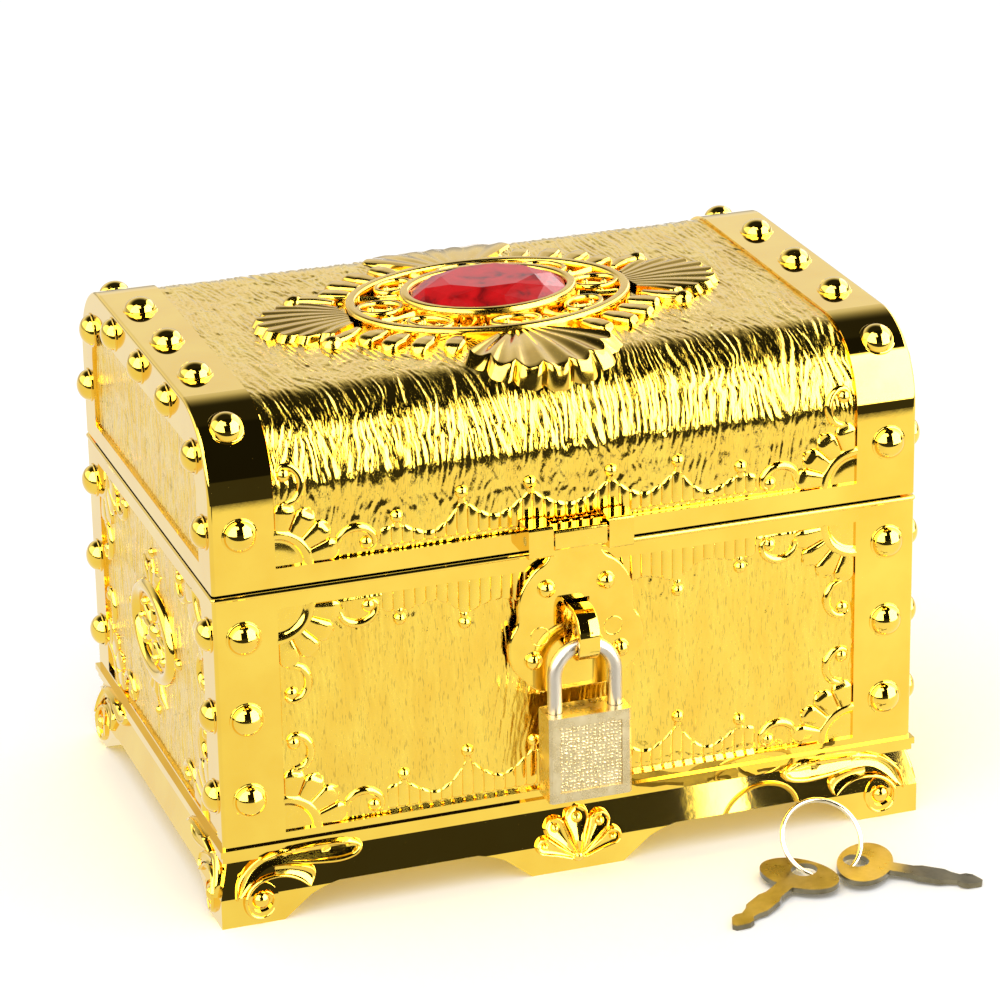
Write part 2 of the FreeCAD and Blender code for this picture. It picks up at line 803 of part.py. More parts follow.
def base_plinth():
    """The hollow base: stepped ledge, flared skirt and ogee bracket feet."""
    step_top = base_height - ledge_height
    skirt_top = step_top - step_height
    ledge = Part.Face(rectangle(ledge_reach, step_top)).extrude(UP * ledge_height)
    step = Part.Face(rectangle(step_reach, skirt_top)).extrude(UP * step_height)
    skirt_ends = [rectangle(skirt_reach, foot_height), rectangle(-skirt_top_inset, skirt_top)]
    skirt = Part.makeLoft(skirt_ends, True, True)
    feet = Part.Face(rectangle(skirt_reach, 0)).extrude(UP * foot_height)
    body = fuse_all([ledge, step, skirt, feet] + base_relief_bars(skirt_top))
    x, y = half_length - base_wall, half_depth - base_wall
    body = body.cut(block(-x, x, -y, y, -overrun, base_height - base_deck))
    depth = body_depth + 2 * (skirt_reach + overrun)
    length = body_length + 2 * (skirt_reach + overrun)
    outer = half_length + skirt_reach - corner_foot_length
    cuts = [arch(-outer, -centre_foot_width / 2, depth), arch(centre_foot_width / 2, outer, depth)]
    end_outer = half_depth + skirt_reach - end_foot_length
    end_arch = arch(-end_outer, end_outer, length)
    end_arch.rotate(V(0, 0, 0), UP, 90)
    cuts.append(end_arch)
    for sx, sy in screw_places():
        cuts.append(rod(V(sx, sy, 0), UP, screw_radius + screw_clearance, base_height + overrun))
    return body.cut(cuts)


def base_screws():
    """Four slotted screws from below, through the deck of the base into the box."""
    head_top = base_height - base_deck
    screws = []
    for x, y in screw_places():
        head = rod(V(x, y, head_top - screw_head_height), UP, screw_head_radius, screw_head_height)
        shank = rod(V(x, y, head_top), UP, screw_radius, base_deck + screw_length - screw_clearance)
        slot_low = head_top - screw_head_height
        slot = block(
            x - screw_head_radius, x + screw_head_radius, y - screw_slot_width / 2, y + screw_slot_width / 2,
            slot_low, slot_low + screw_slot_depth,
        )
        screws.append(fuse_all([head, shank]).cut(slot))
    return Part.makeCompound(screws)


def leaf(root, angle_deg, length, half_width):
    """An upright leaf-shaped block that points away from its root in plan."""
    edge = Part.Ellipse(V(0, 0, 0), length / 2, half_width).toShape()
    height = lid_top_height + overrun
    shape = Part.Face(Part.Wire(edge)).extrude(UP * height)
    shape.translate(RIGHT * (length / 2))
    shape.rotate(V(0, 0, 0), UP, angle_deg)
    shape.translate(root)
    return shape


def fan(root, heading_deg, length, side_length, spread_deg):
    """A palmette of leaves about one root, longest in the middle."""
    leaves = []
    for rib in range(fan_ribs):
        share = 2 * rib / (fan_ribs - 1) - 1
        reach = length + (side_length - length) * share ** 2
        turn = heading_deg + share * spread_deg / 2
        leaves.append(leaf(root, turn, reach, leaf_half_width))
    return leaves


def medallion_leaves():
    """All four palmettes and the leaf sprays between them, as upright blocks."""
    leaves = []
    for side in SIDES:
        heading = 90 - 90 * side
        root = RIGHT * (side * side_fan_root)
        leaves += fan(root, heading, side_fan_length, side_fan_side_length, side_fan_spread_deg)
        root = BACK * (side * front_fan_root)
        leaves += fan(root, 90 * side, front_fan_length, front_fan_side_length, front_fan_spread_deg)
    for sx in SIDES:
        for sy in SIDES:
            for number in range(corner_leaves):
                turn = math.radians(corner_leaf_first_deg + number * corner_leaf_step_deg)
                x = sx * (ring_length / 2 - ring_width) * math.cos(turn)
                y = sy * (ring_depth / 2 - ring_width) * math.sin(turn)
                heading = math.degrees(math.atan2(y * ring_length / ring_depth, x * ring_depth / ring_length))
                leaves.append(leaf(V(x, y, 0), heading, corner_leaf_length, corner_leaf_half_width))
    return leaves


def lid_medallion():
    """The ornament on the lid: oval seat, bezel, outer ring, palmettes and leaf sprays."""
    seat_top = deck_top + medallion_seat_thickness
    seat = oval(ring_length - ring_width, ring_depth - ring_width, deck_top, seat_top)
    ring = oval(ring_length, ring_depth, deck_top, deck_top + ring_height)
    inside_length, inside_depth = ring_length - 2 * ring_width, ring_depth - 2 * ring_width
    ring = ring.cut(oval(inside_length, inside_depth, deck_top, deck_top + overrun))
    hole_length, hole_depth = gem_length + 2 * bezel_clearance, gem_depth + 2 * bezel_clearance
    bezel_length, bezel_depth = hole_length + 2 * bezel_width, hole_depth + 2 * bezel_width
    bezel = oval(bezel_length, bezel_depth, deck_top, deck_top + bezel_height)
    bezel = bezel.cut(oval(hole_length, hole_depth, seat_top, deck_top + bezel_height))
    over = lid_block(leaf_height - panel_recess, panel_half_length, lid_bottom)
    under = lid_block(-panel_recess, half_length, lid_bottom - overrun)
    shell = over.cut(under)
    inside = oval(ring_length - ring_width, ring_depth - ring_width, 0, lid_top_height + overrun)
    leaves = fuse_all(medallion_leaves()).common(shell).cut(inside)
    return fuse_all([seat, ring, bezel, leaves])


def gem_point(length_share, turn_deg, z):
    """A point on an oval that is a share of the gem's girdle."""
    turn = math.radians(turn_deg)
    x = gem_length / 2 * length_share * math.cos(turn)
    return V(x, gem_depth / 2 * length_share * math.sin(turn), z)


def lid_gem():
    """The oval gem: table, star, kite and girdle facets, and a short foiled back."""
    step = 360 / gem_folds
    girdle_low = gem_foot_height + gem_girdle_rise
    girdle = girdle_low + gem_girdle_height
    table_z = girdle + gem_crown_height
    mid_z = girdle + gem_crown_height * gem_mid_rise_share
    triangles = []
    table, foot = [], []
    for fold in range(gem_folds):
        turn = fold * step
        last, here, half, after = turn - step / 2, turn, turn + step / 2, turn + step
        t0 = gem_point(gem_table_share, last, table_z)
        t1 = gem_point(gem_table_share, half, table_z)
        m0 = gem_point(gem_mid_reach_share, here, mid_z)
        m1 = gem_point(gem_mid_reach_share, after, mid_z)
        g0 = gem_point(1, last, girdle)
        g1 = gem_point(1, half, girdle)
        h0 = gem_point(1, here, girdle)
        triangles += [(t0, t1, m0), (t1, m0, m1), (m0, m1, g1), (m0, g0, h0), (m0, h0, g1)]
        for a, b in ((last, here), (here, half)):
            upper_a, upper_b = gem_point(1, a, girdle), gem_point(1, b, girdle)
            lower_a, lower_b = gem_point(1, a, girdle_low), gem_point(1, b, girdle_low)
            foot_a = gem_point(gem_foot_share, a, gem_foot_height)
            foot_b = gem_point(gem_foot_share, b, gem_foot_height)
            triangles += [(upper_a, upper_b, lower_a), (upper_b, lower_a, lower_b)]
            triangles += [(lower_a, lower_b, foot_a), (lower_b, foot_a, foot_b)]
            foot.append(foot_a)
        table.append(t1)
    faces = [Part.Face(Part.makePolygon(list(t) + [t[0]])) for t in triangles]
    faces += [Part.Face(Part.makePolygon(ring + ring[:1])) for ring in (table, foot)]
    gem = Part.makeSolid(Part.makeShell(faces))
    if gem.Volume < 0:
        gem.reverse()
    return gem


def hasp_ears():
    """Two square lugs on the lid's rim that hold the hasp's pin."""
    ears = []
    for side in SIDES:
        x0, x1 = sorted((side * ear_inner, side * (ear_inner + ear_width)))
        ear = block(x0, x1, -half_depth - ear_depth, -half_depth, lid_bottom, lid_bottom + ear_height)
        front = []
        for edge in edges_along(ear, RIGHT):
            if edge.CenterOfMass.y < -half_depth - ear_depth / 2:
                front.append(edge)
        ear = ear.makeFillet(ear_round, front)
        bore_radius = hasp_pin_radius + fixed_pin_clearance
        bore = rod(V(x0, hasp_pin_y, hasp_pin_height), RIGHT, bore_radius, ear_width)
        ears.append(ear.cut(bore))
    return Part.makeCompound(ears)


def hasp_pin():
    """The pin through both lugs and the hasp's barrel."""
    reach = ear_inner + ear_width
    return rod(V(-reach, hasp_pin_y, hasp_pin_height), RIGHT, hasp_pin_radius, 2 * reach)


def plate_face():
    """The hasp plate's pear-shaped face, from arcs through its outline points."""
    half = []
    for x_share, z_share in plate_outline_shares:
        half.append(V(x_share * plate_half_width, plate_back, plate_bottom_height + z_share * plate_length))
    edges = []
    for sign in SIDES:
        p = [V(sign * point.x, point.y, point.z) for point in half]
        edges.append(Part.makeLine(p[0], p[1]))
        edges.append(Part.Arc(p[1], p[2], p[3]).toShape())
        edges.append(Part.Arc(p[3], p[4], p[5]).toShape())
        edges.append(Part.Arc(p[5], p[6], p[7]).toShape())
        edges.append(Part.Arc(p[7], p[8], p[9]).toShape())
        edges.append(Part.Arc(p[9], p[10], p[11]).toShape())
    mirrored = V(-half[0].x, half[0].y, half[0].z)
    edges.append(Part.makeLine(half[0], mirrored))
    low = half[-1]
    edges.append(Part.makeLine(low, V(-low.x, low.y, low.z)))
    return Part.Face(Part.Wire(Part.__sortEdges__(edges)))


def hasp_plate():
    """The hasp: a pear-shaped plate with a slot for the staple and a folded barrel."""
    plate = plate_face().extrude(BACK * -plate_thickness)
    rim = []
    for edge in plate.Edges:
        in_front = edge.CenterOfMass.y < plate_front + plate_thickness / 4
        if in_front and edge.CenterOfMass.z < hasp_pin_height - hasp_knuckle_half_width:
            rim.append(edge)
    plate = plate.makeFillet(plate_edge_round, rim)
    half_barrel = hasp_knuckle_length / 2
    start = V(-half_barrel, hasp_pin_y, hasp_pin_height)
    half_wrap = hasp_knuckle_half_width
    barrel = block(
        -half_barrel, half_barrel, hasp_pin_y - half_wrap, hasp_pin_y + half_wrap,
        hasp_pin_height - half_wrap, hasp_pin_height + half_wrap,
    )
    barrel = barrel.makeFillet(hasp_knuckle_round, edges_along(barrel, RIGHT))
    body = fuse_all([plate, barrel])
    bore = rod(start, RIGHT, hasp_pin_radius + running_pin_clearance, hasp_knuckle_length)
    half_slot = half_staple + plate_slot_clearance
    slot = block(
        -half_slot, half_slot, plate_front - overrun, plate_back + overrun / 2,
        staple_bottom_height - plate_slot_clearance, staple_top_height + plate_slot_clearance,
    )
    return body.cut([bore, slot])


def hasp_studs():
    """Four small domed rivets on the hasp plate."""
    shape = dome(hasp_stud_radius, hasp_stud_height, hasp_stud_flange_radius, stud_flange_height, 0)
    spots = []
    for side in SIDES:
        spots.append(V(side * hasp_stud_upper_x, plate_front, plate_bottom_height + hasp_stud_upper_rise))
        spots.append(V(side * hasp_stud_lower_x, plate_front, plate_bottom_height + hasp_stud_lower_rise))
    return Part.makeCompound([place(shape, spot, -BACK) for spot in spots])


def leg_notch():
    """The cut in the short leg that the latch enters."""
    x1 = shackle_bend - shackle_rod_radius + notch_depth
    high = case_top_height - notch_drop
    y0, y1 = shackle_y - overrun, shackle_y + overrun
    return block(x1 - overrun, x1, y0, y1, high - notch_height, high)


def padlock_shackle():
    """The U-shaped rod: a long captive leg, a bend, and a short notched leg."""
    ring = Part.makeCircle(shackle_rod_radius, V(-shackle_bend, shackle_y, shackle_bend_height), UP)
    bend = Part.Face(Part.Wire(ring)).revolve(V(0, shackle_y, shackle_bend_height), BACK, 180)
    above = shackle_bend_height - case_top_height
    long_foot = case_top_height - long_leg_depth
    short_foot = case_top_height - short_leg_depth
    long_leg = rod(V(-shackle_bend, shackle_y, long_foot), UP, shackle_rod_radius, above + long_leg_depth)
    short_leg = rod(V(shackle_bend, shackle_y, short_foot), UP, shackle_rod_radius, above + short_leg_depth)
    return fuse_all([bend, long_leg, short_leg]).cut(leg_notch())


def latch_levels():
    """The bottom and top of the latch inside the case."""
    middle = case_top_height - notch_drop - notch_height / 2
    return middle - latch_thickness / 2, middle + latch_thickness / 2


def latch_ends():
    """The tail and the tip of the latch, drawn back from the short leg."""
    tip = shackle_bend - shackle_rod_radius - latch_tip_gap
    return -latch_tail, tip


def padlock_case():
    """The padlock's body with its leg holes, plug bore, latch channel and framed faces."""
    x, y = case_width / 2, case_thickness / 2
    body = block(-x, x, shackle_y - y, shackle_y + y, case_bottom_height, case_top_height)
    body = body.makeChamfer(case_edge, edges_along(body, UP))
    cuts = []
    low, high = case_bottom_height + case_border, case_top_height - case_border
    for side in SIDES:
        y0, y1 = sorted((shackle_y + side * (y + overrun), shackle_y + side * (y - case_panel_recess)))
        cuts.append(block(-x + case_border, x - case_border, y0, y1, low, high))
    hole = shackle_rod_radius + leg_clearance
    for sign, depth in ((-1, long_leg_depth), (1, short_leg_depth)):
        start = V(sign * shackle_bend, shackle_y, case_top_height - depth - leg_hole_spare)
        cuts.append(rod(start, UP, hole, depth + leg_hole_spare + overrun))
    bore_start = V(0, shackle_y, case_bottom_height - overrun)
    cuts.append(rod(bore_start, UP, plug_radius + plug_clearance, overrun + plug_length + latch_clearance))
    latch_low, latch_high = latch_levels()
    tail, tip = latch_ends()
    half = latch_half_width + latch_clearance
    cuts.append(block(
        tail - latch_clearance, tip + latch_travel, shackle_y - half, shackle_y + half,
        latch_low - latch_clearance, latch_high + latch_clearance,
    ))
    swing = plug_pin_offset + plug_pin_radius + latch_clearance
    pin_top = case_bottom_height + plug_length + plug_pin_height + latch_clearance
    cuts.append(rod(V(0, shackle_y, case_bottom_height), UP, swing, pin_top - case_bottom_height))
    return body.cut(cuts)


def padlock_plug():
    """The turning key plug with its keyway and the crank pin that drives the latch."""
    plug = rod(V(0, shackle_y, case_bottom_height), UP, plug_radius, plug_length)
    top = case_bottom_height + plug_length
    pin = rod(V(0, shackle_y - plug_pin_offset, top), UP, plug_pin_radius, plug_pin_height)
    keyway = block(
        -keyway_length / 2, keyway_length / 2, shackle_y - keyway_width / 2, shackle_y + keyway_width / 2,
        case_bottom_height - overrun, case_bottom_height + keyway_depth,
    )
    return fuse_all([plug, pin]).cut(keyway)


def padlock_latch():
    """The sliding bolt, with a cross slot for the plug's crank pin."""
    low, high = latch_levels()
    tail, tip = latch_ends()
    bar = block(tail, tip, shackle_y - latch_half_width, shackle_y + latch_half_width, low, high)
    nose = block(
        tip - latch_travel - latch_tip_gap, tip, shackle_y - latch_half_width, shackle_y - shackle_rod_radius,
        low, high,
    )
    other = nose.mirror(V(0, shackle_y, 0), BACK)
    slot = block(
        -latch_slot_half_width, latch_slot_half_width, shackle_y - latch_slot_half_length,
        shackle_y + latch_slot_half_length, low, high,
    )
    return bar.cut([nose, other, slot])


def key_blank():
    """A flat key along -Y: oval bow with a hole, and a waisted blade."""
    bow = Part.Face(Part.Wire(Part.Ellipse(V(0, 0, 0), key_bow_width / 2, key_bow_length / 2).toShape()))
    points = [V(-key_blade_half_width * key_blade_shares[0][1], 0, 0)]
    for sign in (-1, 1):
        rows = key_blade_shares if sign < 0 else reversed(key_blade_shares)
        for along, across in rows:
            points.append(V(sign * across * key_blade_half_width, -along * key_blade_length, 0))
    points.append(V(key_blade_half_width * key_blade_shares[0][1], 0, 0))
    blade = Part.Face(Part.makePolygon(points + points[:1]))
    body = fuse_all([bow.extrude(UP * key_thickness), blade.extrude(UP * key_thickness)])
    return body.cut(rod(V(0, key_hole_offset, 0), UP, key_hole_radius, key_thickness))


def key_copy(number):
    """One of the two keys, blade tip on the floor and bow lifted by the ring's wire."""
    key = key_blank()
    tilt = math.degrees(math.asin(key_lift / key_blade_length))
    key.rotate(V(0, -key_blade_length, 0), RIGHT, tilt)
    key.rotate(V(0, 0, 0), UP, key_turn_degs[number])
    across = (number - 1 / 2) * key_spacing
    key.translate(V(key_place_x + across, key_place_y, 0))
    key.translate(UP * (key_floor_gap - key.BoundBox.ZMin))
    return key


def key_ring():
    """The wire ring through both bows, leaning across them."""
    ring = Part.makeTorus(key_ring_radius, key_ring_wire_radius)
    ring.rotate(V(0, 0, 0), RIGHT, key_ring_tilt_deg)
    lean = key_ring_radius * math.sin(math.radians(key_ring_tilt_deg))
    rest = key_floor_gap + key_ring_wire_radius + lean
    ring.translate(V(key_place_x, key_place_y + key_ring_setback, rest))
    return ring


NODES = {
    "box_shell": box_shell,
    "base_plinth": base_plinth,
    "base_screws": base_screws,
    "box_studs": box_studs,
    "lock_staple": lock_staple,
    "hinge_pins": hinge_pins,
    "lid_shell": lid_shell,
    "lid_studs": lid_studs,
    "lid_medallion": lid_medallion,
    "lid_gem": lid_gem,
    "hasp_ears": hasp_ears,
    "hasp_pin": hasp_pin,
    "hasp_plate": hasp_plate,
    "hasp_studs": hasp_studs,
    "padlock_shackle": padlock_shackle,
    "padlock_case": padlock_case,
    "padlock_plug": padlock_plug,
    "padlock_latch": padlock_latch,
    "key_one": lambda: key_copy(0),
    "key_two": lambda: key_copy(1),
    "key_ring": key_ring,
}


def main():
    """Builds every piece, centres the set's footprint on the origin and writes the files."""
    os.makedirs("parts", exist_ok=True)
    shapes = {name: build() for name, build in NODES.items()}
    whole = FreeCAD.BoundBox()
    for shape in shapes.values():
        whole.add(shape.optimalBoundingBox())
    for name, shape in shapes.items():
        if not shape.isValid():
            raise ValueError(name + " is not a valid solid")
        shape.translate(V(-whole.Center.x, -whole.Center.y, 0))
        shape.exportStep("parts/" + name + ".step")
        size = shape.optimalBoundingBox()
        print(name, len(shape.Solids), round(shape.Volume, 1), [round(v, 2) for v in (
            size.XMin, size.XMax, size.YMin, size.YMax, size.ZMin, size.ZMax)])


main()
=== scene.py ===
import math
from functools import partial

import bmesh
import bpy
import numpy as np
from mathutils import Matrix, Vector

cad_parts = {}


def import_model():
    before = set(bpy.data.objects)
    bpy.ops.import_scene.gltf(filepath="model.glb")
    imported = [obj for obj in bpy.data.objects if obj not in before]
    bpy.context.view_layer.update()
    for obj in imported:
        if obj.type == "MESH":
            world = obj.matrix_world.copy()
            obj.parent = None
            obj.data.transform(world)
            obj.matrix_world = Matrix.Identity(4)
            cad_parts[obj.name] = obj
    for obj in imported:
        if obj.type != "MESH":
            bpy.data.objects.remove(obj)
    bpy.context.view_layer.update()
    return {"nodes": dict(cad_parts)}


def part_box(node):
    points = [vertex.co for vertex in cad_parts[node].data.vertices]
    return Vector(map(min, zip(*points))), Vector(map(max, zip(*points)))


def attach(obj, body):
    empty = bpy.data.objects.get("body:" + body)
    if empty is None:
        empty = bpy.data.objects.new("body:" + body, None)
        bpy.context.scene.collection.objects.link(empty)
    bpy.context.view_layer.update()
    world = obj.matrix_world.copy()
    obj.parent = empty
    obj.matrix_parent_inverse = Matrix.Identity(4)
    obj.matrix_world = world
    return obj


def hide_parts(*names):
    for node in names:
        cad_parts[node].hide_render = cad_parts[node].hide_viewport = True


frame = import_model()
nodes = frame["nodes"]

MM = 0.001
BASE_LOW, BASE_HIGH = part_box("base_plinth")
CENTRE_Y = (BASE_LOW.y + BASE_HIGH.y) / 2

# The chest in millimetres, about its own middle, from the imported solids.
HALF_LENGTH = 80.0
HALF_DEPTH = 53.0
PANEL_X = 66.0
PANEL_END = 43.5
PANEL_LOW = 20.0
PANEL_HIGH = 72.0
RECESS = 1.0
LID_PANEL_LOW = 81.0
CURVE_Z = 97.0
CURVE_Y = 35.0
CURVE_R = 18.0
LID_CURVE_R = CURVE_R - RECESS


# Surfaces: each takes (u, v, h) points and gives places about the chest's middle.

FRONT, BACK, LEFT, RIGHT = (0, -1), (0, 1), (-1, 0), (1, 0)
SKIRT_Z = (0.0, 6.8, 15.0, 15.05, 16.5, 16.55, 18.0)
SKIRT_OUT = (1.3, 1.3, -1.1, 0.3, 0.3, 0.8, 0.8)


def upright(way, reach, skirt=0):
    """A surface that faces one way, at a distance from the middle, with or without the base's skirt."""
    x, y = way

    def places(p):
        u, v, h = p.T
        out = reach + skirt * np.interp(v, SKIRT_Z, SKIRT_OUT) + h
        return np.stack([out * x - u * y, out * y + u * x, v], 1)

    return places


front, back = (upright(way, HALF_DEPTH - RECESS) for way in (FRONT, BACK))
left_end, right_end = (upright(way, HALF_LENGTH - RECESS) for way in (LEFT, RIGHT))
base_front, base_back = (upright(way, HALF_DEPTH, 1) for way in (FRONT, BACK))
base_left, base_right = (upright(way, HALF_LENGTH, 1) for way in (LEFT, RIGHT))


def over_lid(p, radius, start):
    """Along the lid's profile: v is the length from the height start, front to back."""
    u, v, h = p.T
    wall = CURVE_Z - start
    arc = radius * math.pi / 2
    whole = 2 * (wall + arc + CURVE_Y)
    behind = v > whole / 2
    s = np.where(behind, whole - v, v)
    turn = np.clip((s - wall) / radius, 0, math.pi / 2)
    flat = np.clip(s - wall - arc, 0, None)
    y = -CURVE_Y - (radius + h) * np.cos(turn) + flat
    z = CURVE_Z + (radius + h) * np.sin(turn) + np.minimum(s - wall, 0)
    return np.stack([u, np.where(behind, -y, y), z], 1)


def lid_panel(p):
    return over_lid(p, LID_CURVE_R, LID_PANEL_LOW)


LID_PANEL_LENGTH = 2 * (CURVE_Z - LID_PANEL_LOW + LID_CURVE_R * math.pi / 2 + CURVE_Y)


def lid_top(p):
    """About the lid's middle: v is the signed length from the centre line."""
    return lid_panel(p + np.array([0, LID_PANEL_LENGTH / 2, 0]))


CURVE_PIECES, TIP_ROWS, TANGENT_SHARE, TINY = 16, 5, 0.02, 1e-9


def resample(path, closed, step, tips):
    """A smooth line through the points: places, left normals and lengths along it."""
    p = np.asarray(path, float)
    if closed:
        ring = np.concatenate([p[-1:], p, p[:2]])
    else:
        ring = np.concatenate([2 * p[:1] - p[1:2], p, 2 * p[-1:] - p[-2:-1]])
    t = np.linspace(0, 1, CURVE_PIECES, endpoint=False)[:, None]
    runs = []
    for a, b, c, d in zip(ring, ring[1:], ring[2:], ring[3:]):
        runs.append(0.5 * (2 * b + (c - a) * t + (2 * a - 5 * b + 4 * c - d) * t ** 2
                           + (3 * b - a - 3 * c + d) * t ** 3))
    fine = np.concatenate(runs + [p[:1] if closed else p[-1:]])
    gaps = np.linalg.norm(np.diff(fine, axis=0), axis=1)
    along = np.concatenate([[0], np.cumsum(gaps)])
    total = along[-1]
    s = np.linspace(0, total, max(4, int(total / step) + 1))
    ease = 1 - np.cos(np.linspace(0, math.pi / 2, TIP_ROWS))
    if tips[0] > 0:
        s = np.concatenate([s, ease * min(tips[0], total / 2)])
    if tips[1] > 0:
        s = np.concatenate([s, total - ease * min(tips[1], total / 2)])
    s = np.unique(np.round(s, 4))
    s[-1] = total
    place = np.stack([np.interp(s, along, fine[:, k]) for k in (0, 1)], 1)
    near = TANGENT_SHARE * total
    ahead = np.clip(s + near, 0, total)
    behind = np.clip(s - near, 0, total)
    if closed:
        ahead, behind = (s + near) % total, (s - near) % total
    tangent = np.stack([np.interp(ahead, along, fine[:, k]) - np.interp(behind, along, fine[:, k])
                        for k in (0, 1)], 1)
    tangent /= np.maximum(np.linalg.norm(tangent, axis=1), TINY)[:, None]
    left = np.stack([-tangent[:, 1], tangent[:, 0]], 1)
    return place, left, s, total


class Relief:
    """Raised forms, kept as grids of (u, v, h) points in millimetres."""

    def __init__(self):
        self.points = []
        self.quads = []
        self.count = 0

    def put(self, points, quads):
        self.points.append(points)
        self.quads.append(quads + self.count)
        self.count += len(points)

    def grid(self, uvh):
        n, m, _ = uvh.shape
        index = np.arange(n * m).reshape(n, m)
        a, b = index[:-1, :-1], index[1:, :-1]
        c, d = index[1:, 1:], index[:-1, 1:]
        self.put(uvh.reshape(-1, 3), np.stack([a, b, c, d], -1).reshape(-1, 4))

    def sweep(self, path, width, height, sink=0.15, across=9, power=2.0, step=0.45,
              closed=False, tips=(True, True)):
        """A bar of rounded section along a line; width and height are lists along it."""
        width, height = np.atleast_1d(width), np.atleast_1d(height)
        caps = [0, 0]
        if not closed:
            caps = [tips[0] * width[0] / 2, tips[1] * width[-1] / 2]
        line, left, s, total = resample(path, closed, step, caps)
        share = s / total
        half = np.interp(share, np.linspace(0, 1, len(width)), width) / 2
        tall = np.interp(share, np.linspace(0, 1, len(height)), height) + sink
        cap = np.ones_like(s)
        for reach, distance in ((caps[0], s), (caps[1], total - s)):
            if reach > 0:
                cap *= np.sqrt(np.clip(1 - np.clip(1 - distance / reach, 0, 1) ** 2, 0, 1))
        w = np.sin(np.linspace(-math.pi / 2, math.pi / 2, across))
        section = np.clip(1 - np.abs(w) ** power, 0, 1) ** (1 / power)
        u = line[:, :1] + left[:, :1] * (half * cap)[:, None] * w
        v = line[:, 1:] + left[:, 1:] * (half * cap)[:, None] * w
        h = (tall * cap)[:, None] * section - sink
        self.grid(np.stack([u, v, h], -1))

    def bead(self, u, v, radius, height, sink=0.1, stretch=1.0, turn=0.0, segments=18, rings=7):
        """A half ball, stretched along a direction."""
        a = np.linspace(0, 2 * math.pi, segments + 1)
        e = np.linspace(0, math.pi / 2, rings)
        x = np.outer(np.cos(e), np.cos(a)) * radius * stretch
        y = np.outer(np.cos(e), np.sin(a)) * radius
        h = np.outer(np.sin(e), np.ones_like(a)) * (height + sink) - sink
        c, s = math.cos(turn), math.sin(turn)
        grid = np.stack([u + x * c - y * s, v + x * s + y * c, h], -1)
        self.grid(grid.transpose(1, 0, 2)[::-1])

    def disc(self, radii, heights, a0=0.0, a1=2 * math.pi, segments=48, centre=(0, 0), stretch=(1, 1)):
        """Rings of given radii and heights about a centre, over a span of angles."""
        a = np.linspace(a0, a1, segments + 1)
        u = centre[0] + np.outer(radii, np.cos(a)) * stretch[0]
        v = centre[1] + np.outer(radii, np.sin(a)) * stretch[1]
        h = np.outer(heights, np.ones_like(a))
        self.grid(np.stack([u, v, h], -1))

    def loft(self, lower, upper, rise, count=24, across=7):
        """A sheet between two lines whose height across comes from a list."""
        sides = []
        for path in (lower, upper):
            line, _, s, total = resample(path, False, 0.3, (0, 0))
            even = np.linspace(0, total, count)
            sides.append(np.stack([np.interp(even, s, line[:, k]) for k in (0, 1)], 1))
        w = np.linspace(0, 1, across)
        h = np.interp(w, np.linspace(0, 1, len(rise)), rise)
        uv = sides[0][:, None] * (1 - w)[:, None] + sides[1][:, None] * w[:, None]
        self.grid(np.concatenate([uv, np.broadcast_to(h[:, None], (count, across, 1))], -1))

    def add(self, other, shift=(0, 0), flip_u=False, flip_v=False, swap=False, turn=0.0):
        """A copy of another relief, mirrored, swapped, turned and moved."""
        points = np.concatenate(other.points)
        quads = np.concatenate(other.quads)
        if swap:
            points = points[:, [1, 0, 2]]
        sign = np.array([-1 if flip_u else 1, -1 if flip_v else 1, 1])
        points = points * sign
        c, s = math.cos(turn), math.sin(turn)
        u = points[:, 0] * c - points[:, 1] * s + shift[0]
        v = points[:, 0] * s + points[:, 1] * c + shift[1]
        if (flip_u + flip_v + swap) % 2:
            quads = quads[:, ::-1]
        self.put(np.stack([u, v, points[:, 2]], 1), quads)

    def mesh(self, name, surface, sharp_deg=60.0):
        points = surface(np.concatenate(self.points)) + np.array([0, CENTRE_Y / MM, 0])
        return make_mesh(name, points, np.concatenate(self.quads), sharp_deg)


SAME_PLACE, NO_LENGTH, SAME_CORNER = 2e-6, 1e-7, 1e-6


def make_mesh(name, points, faces, sharp_deg):
    """A smooth-shaded mesh from places in millimetres."""
    mesh = bpy.data.meshes.new(name)
    mesh.from_pydata((points * MM).tolist(), [], faces.tolist())
    work = bmesh.new()
    work.from_mesh(mesh)
    bmesh.ops.remove_doubles(work, verts=work.verts, dist=SAME_PLACE)
    bmesh.ops.dissolve_degenerate(work, edges=work.edges, dist=NO_LENGTH)
    work.to_mesh(mesh)
    work.free()
    mesh.polygons.foreach_set("use_smooth", [True] * len(mesh.polygons))
    mesh.set_sharp_from_angle(angle=math.radians(sharp_deg))
    mesh.update()
    return mesh


def piece(name, mesh, material, body, replaced=()):
    """One visible piece that rides on a body."""
    obj = bpy.data.objects.new(name, mesh)
    bpy.context.scene.collection.objects.link(obj)
    mesh.materials.append(material)
    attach(obj, body)
    if replaced:
        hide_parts(*replaced)


# Materials

def fill(tree, node, inputs):
    """Give a node's inputs a number, a colour or another node's output."""
    for name, value in inputs.items():
        if isinstance(value, bpy.types.NodeSocket):
            tree.links.new(value, node.inputs[name])
        else:
            node.inputs[name].default_value = value
    return node


def shader_node(tree, kind, inputs):
    return fill(tree, tree.nodes.new("ShaderNode" + kind), inputs)


def new_material(name):
    mat = bpy.data.materials.new(name)
    mat.use_nodes = True
    return mat, mat.node_tree, mat.node_tree.nodes["Principled BSDF"]


def object_place(tree):
    return shader_node(tree, "TexCoord", {}).outputs["Object"]


def xyz_of(tree, vector):
    """The x, y and z of a vector."""
    outputs = shader_node(tree, "SeparateXYZ", {"Vector": vector}).outputs
    return [outputs[k] for k in "XYZ"]


def stretched(tree, vector, scale):
    return shader_node(tree, "Mapping", {"Scale": scale, "Vector": vector}).outputs["Vector"]


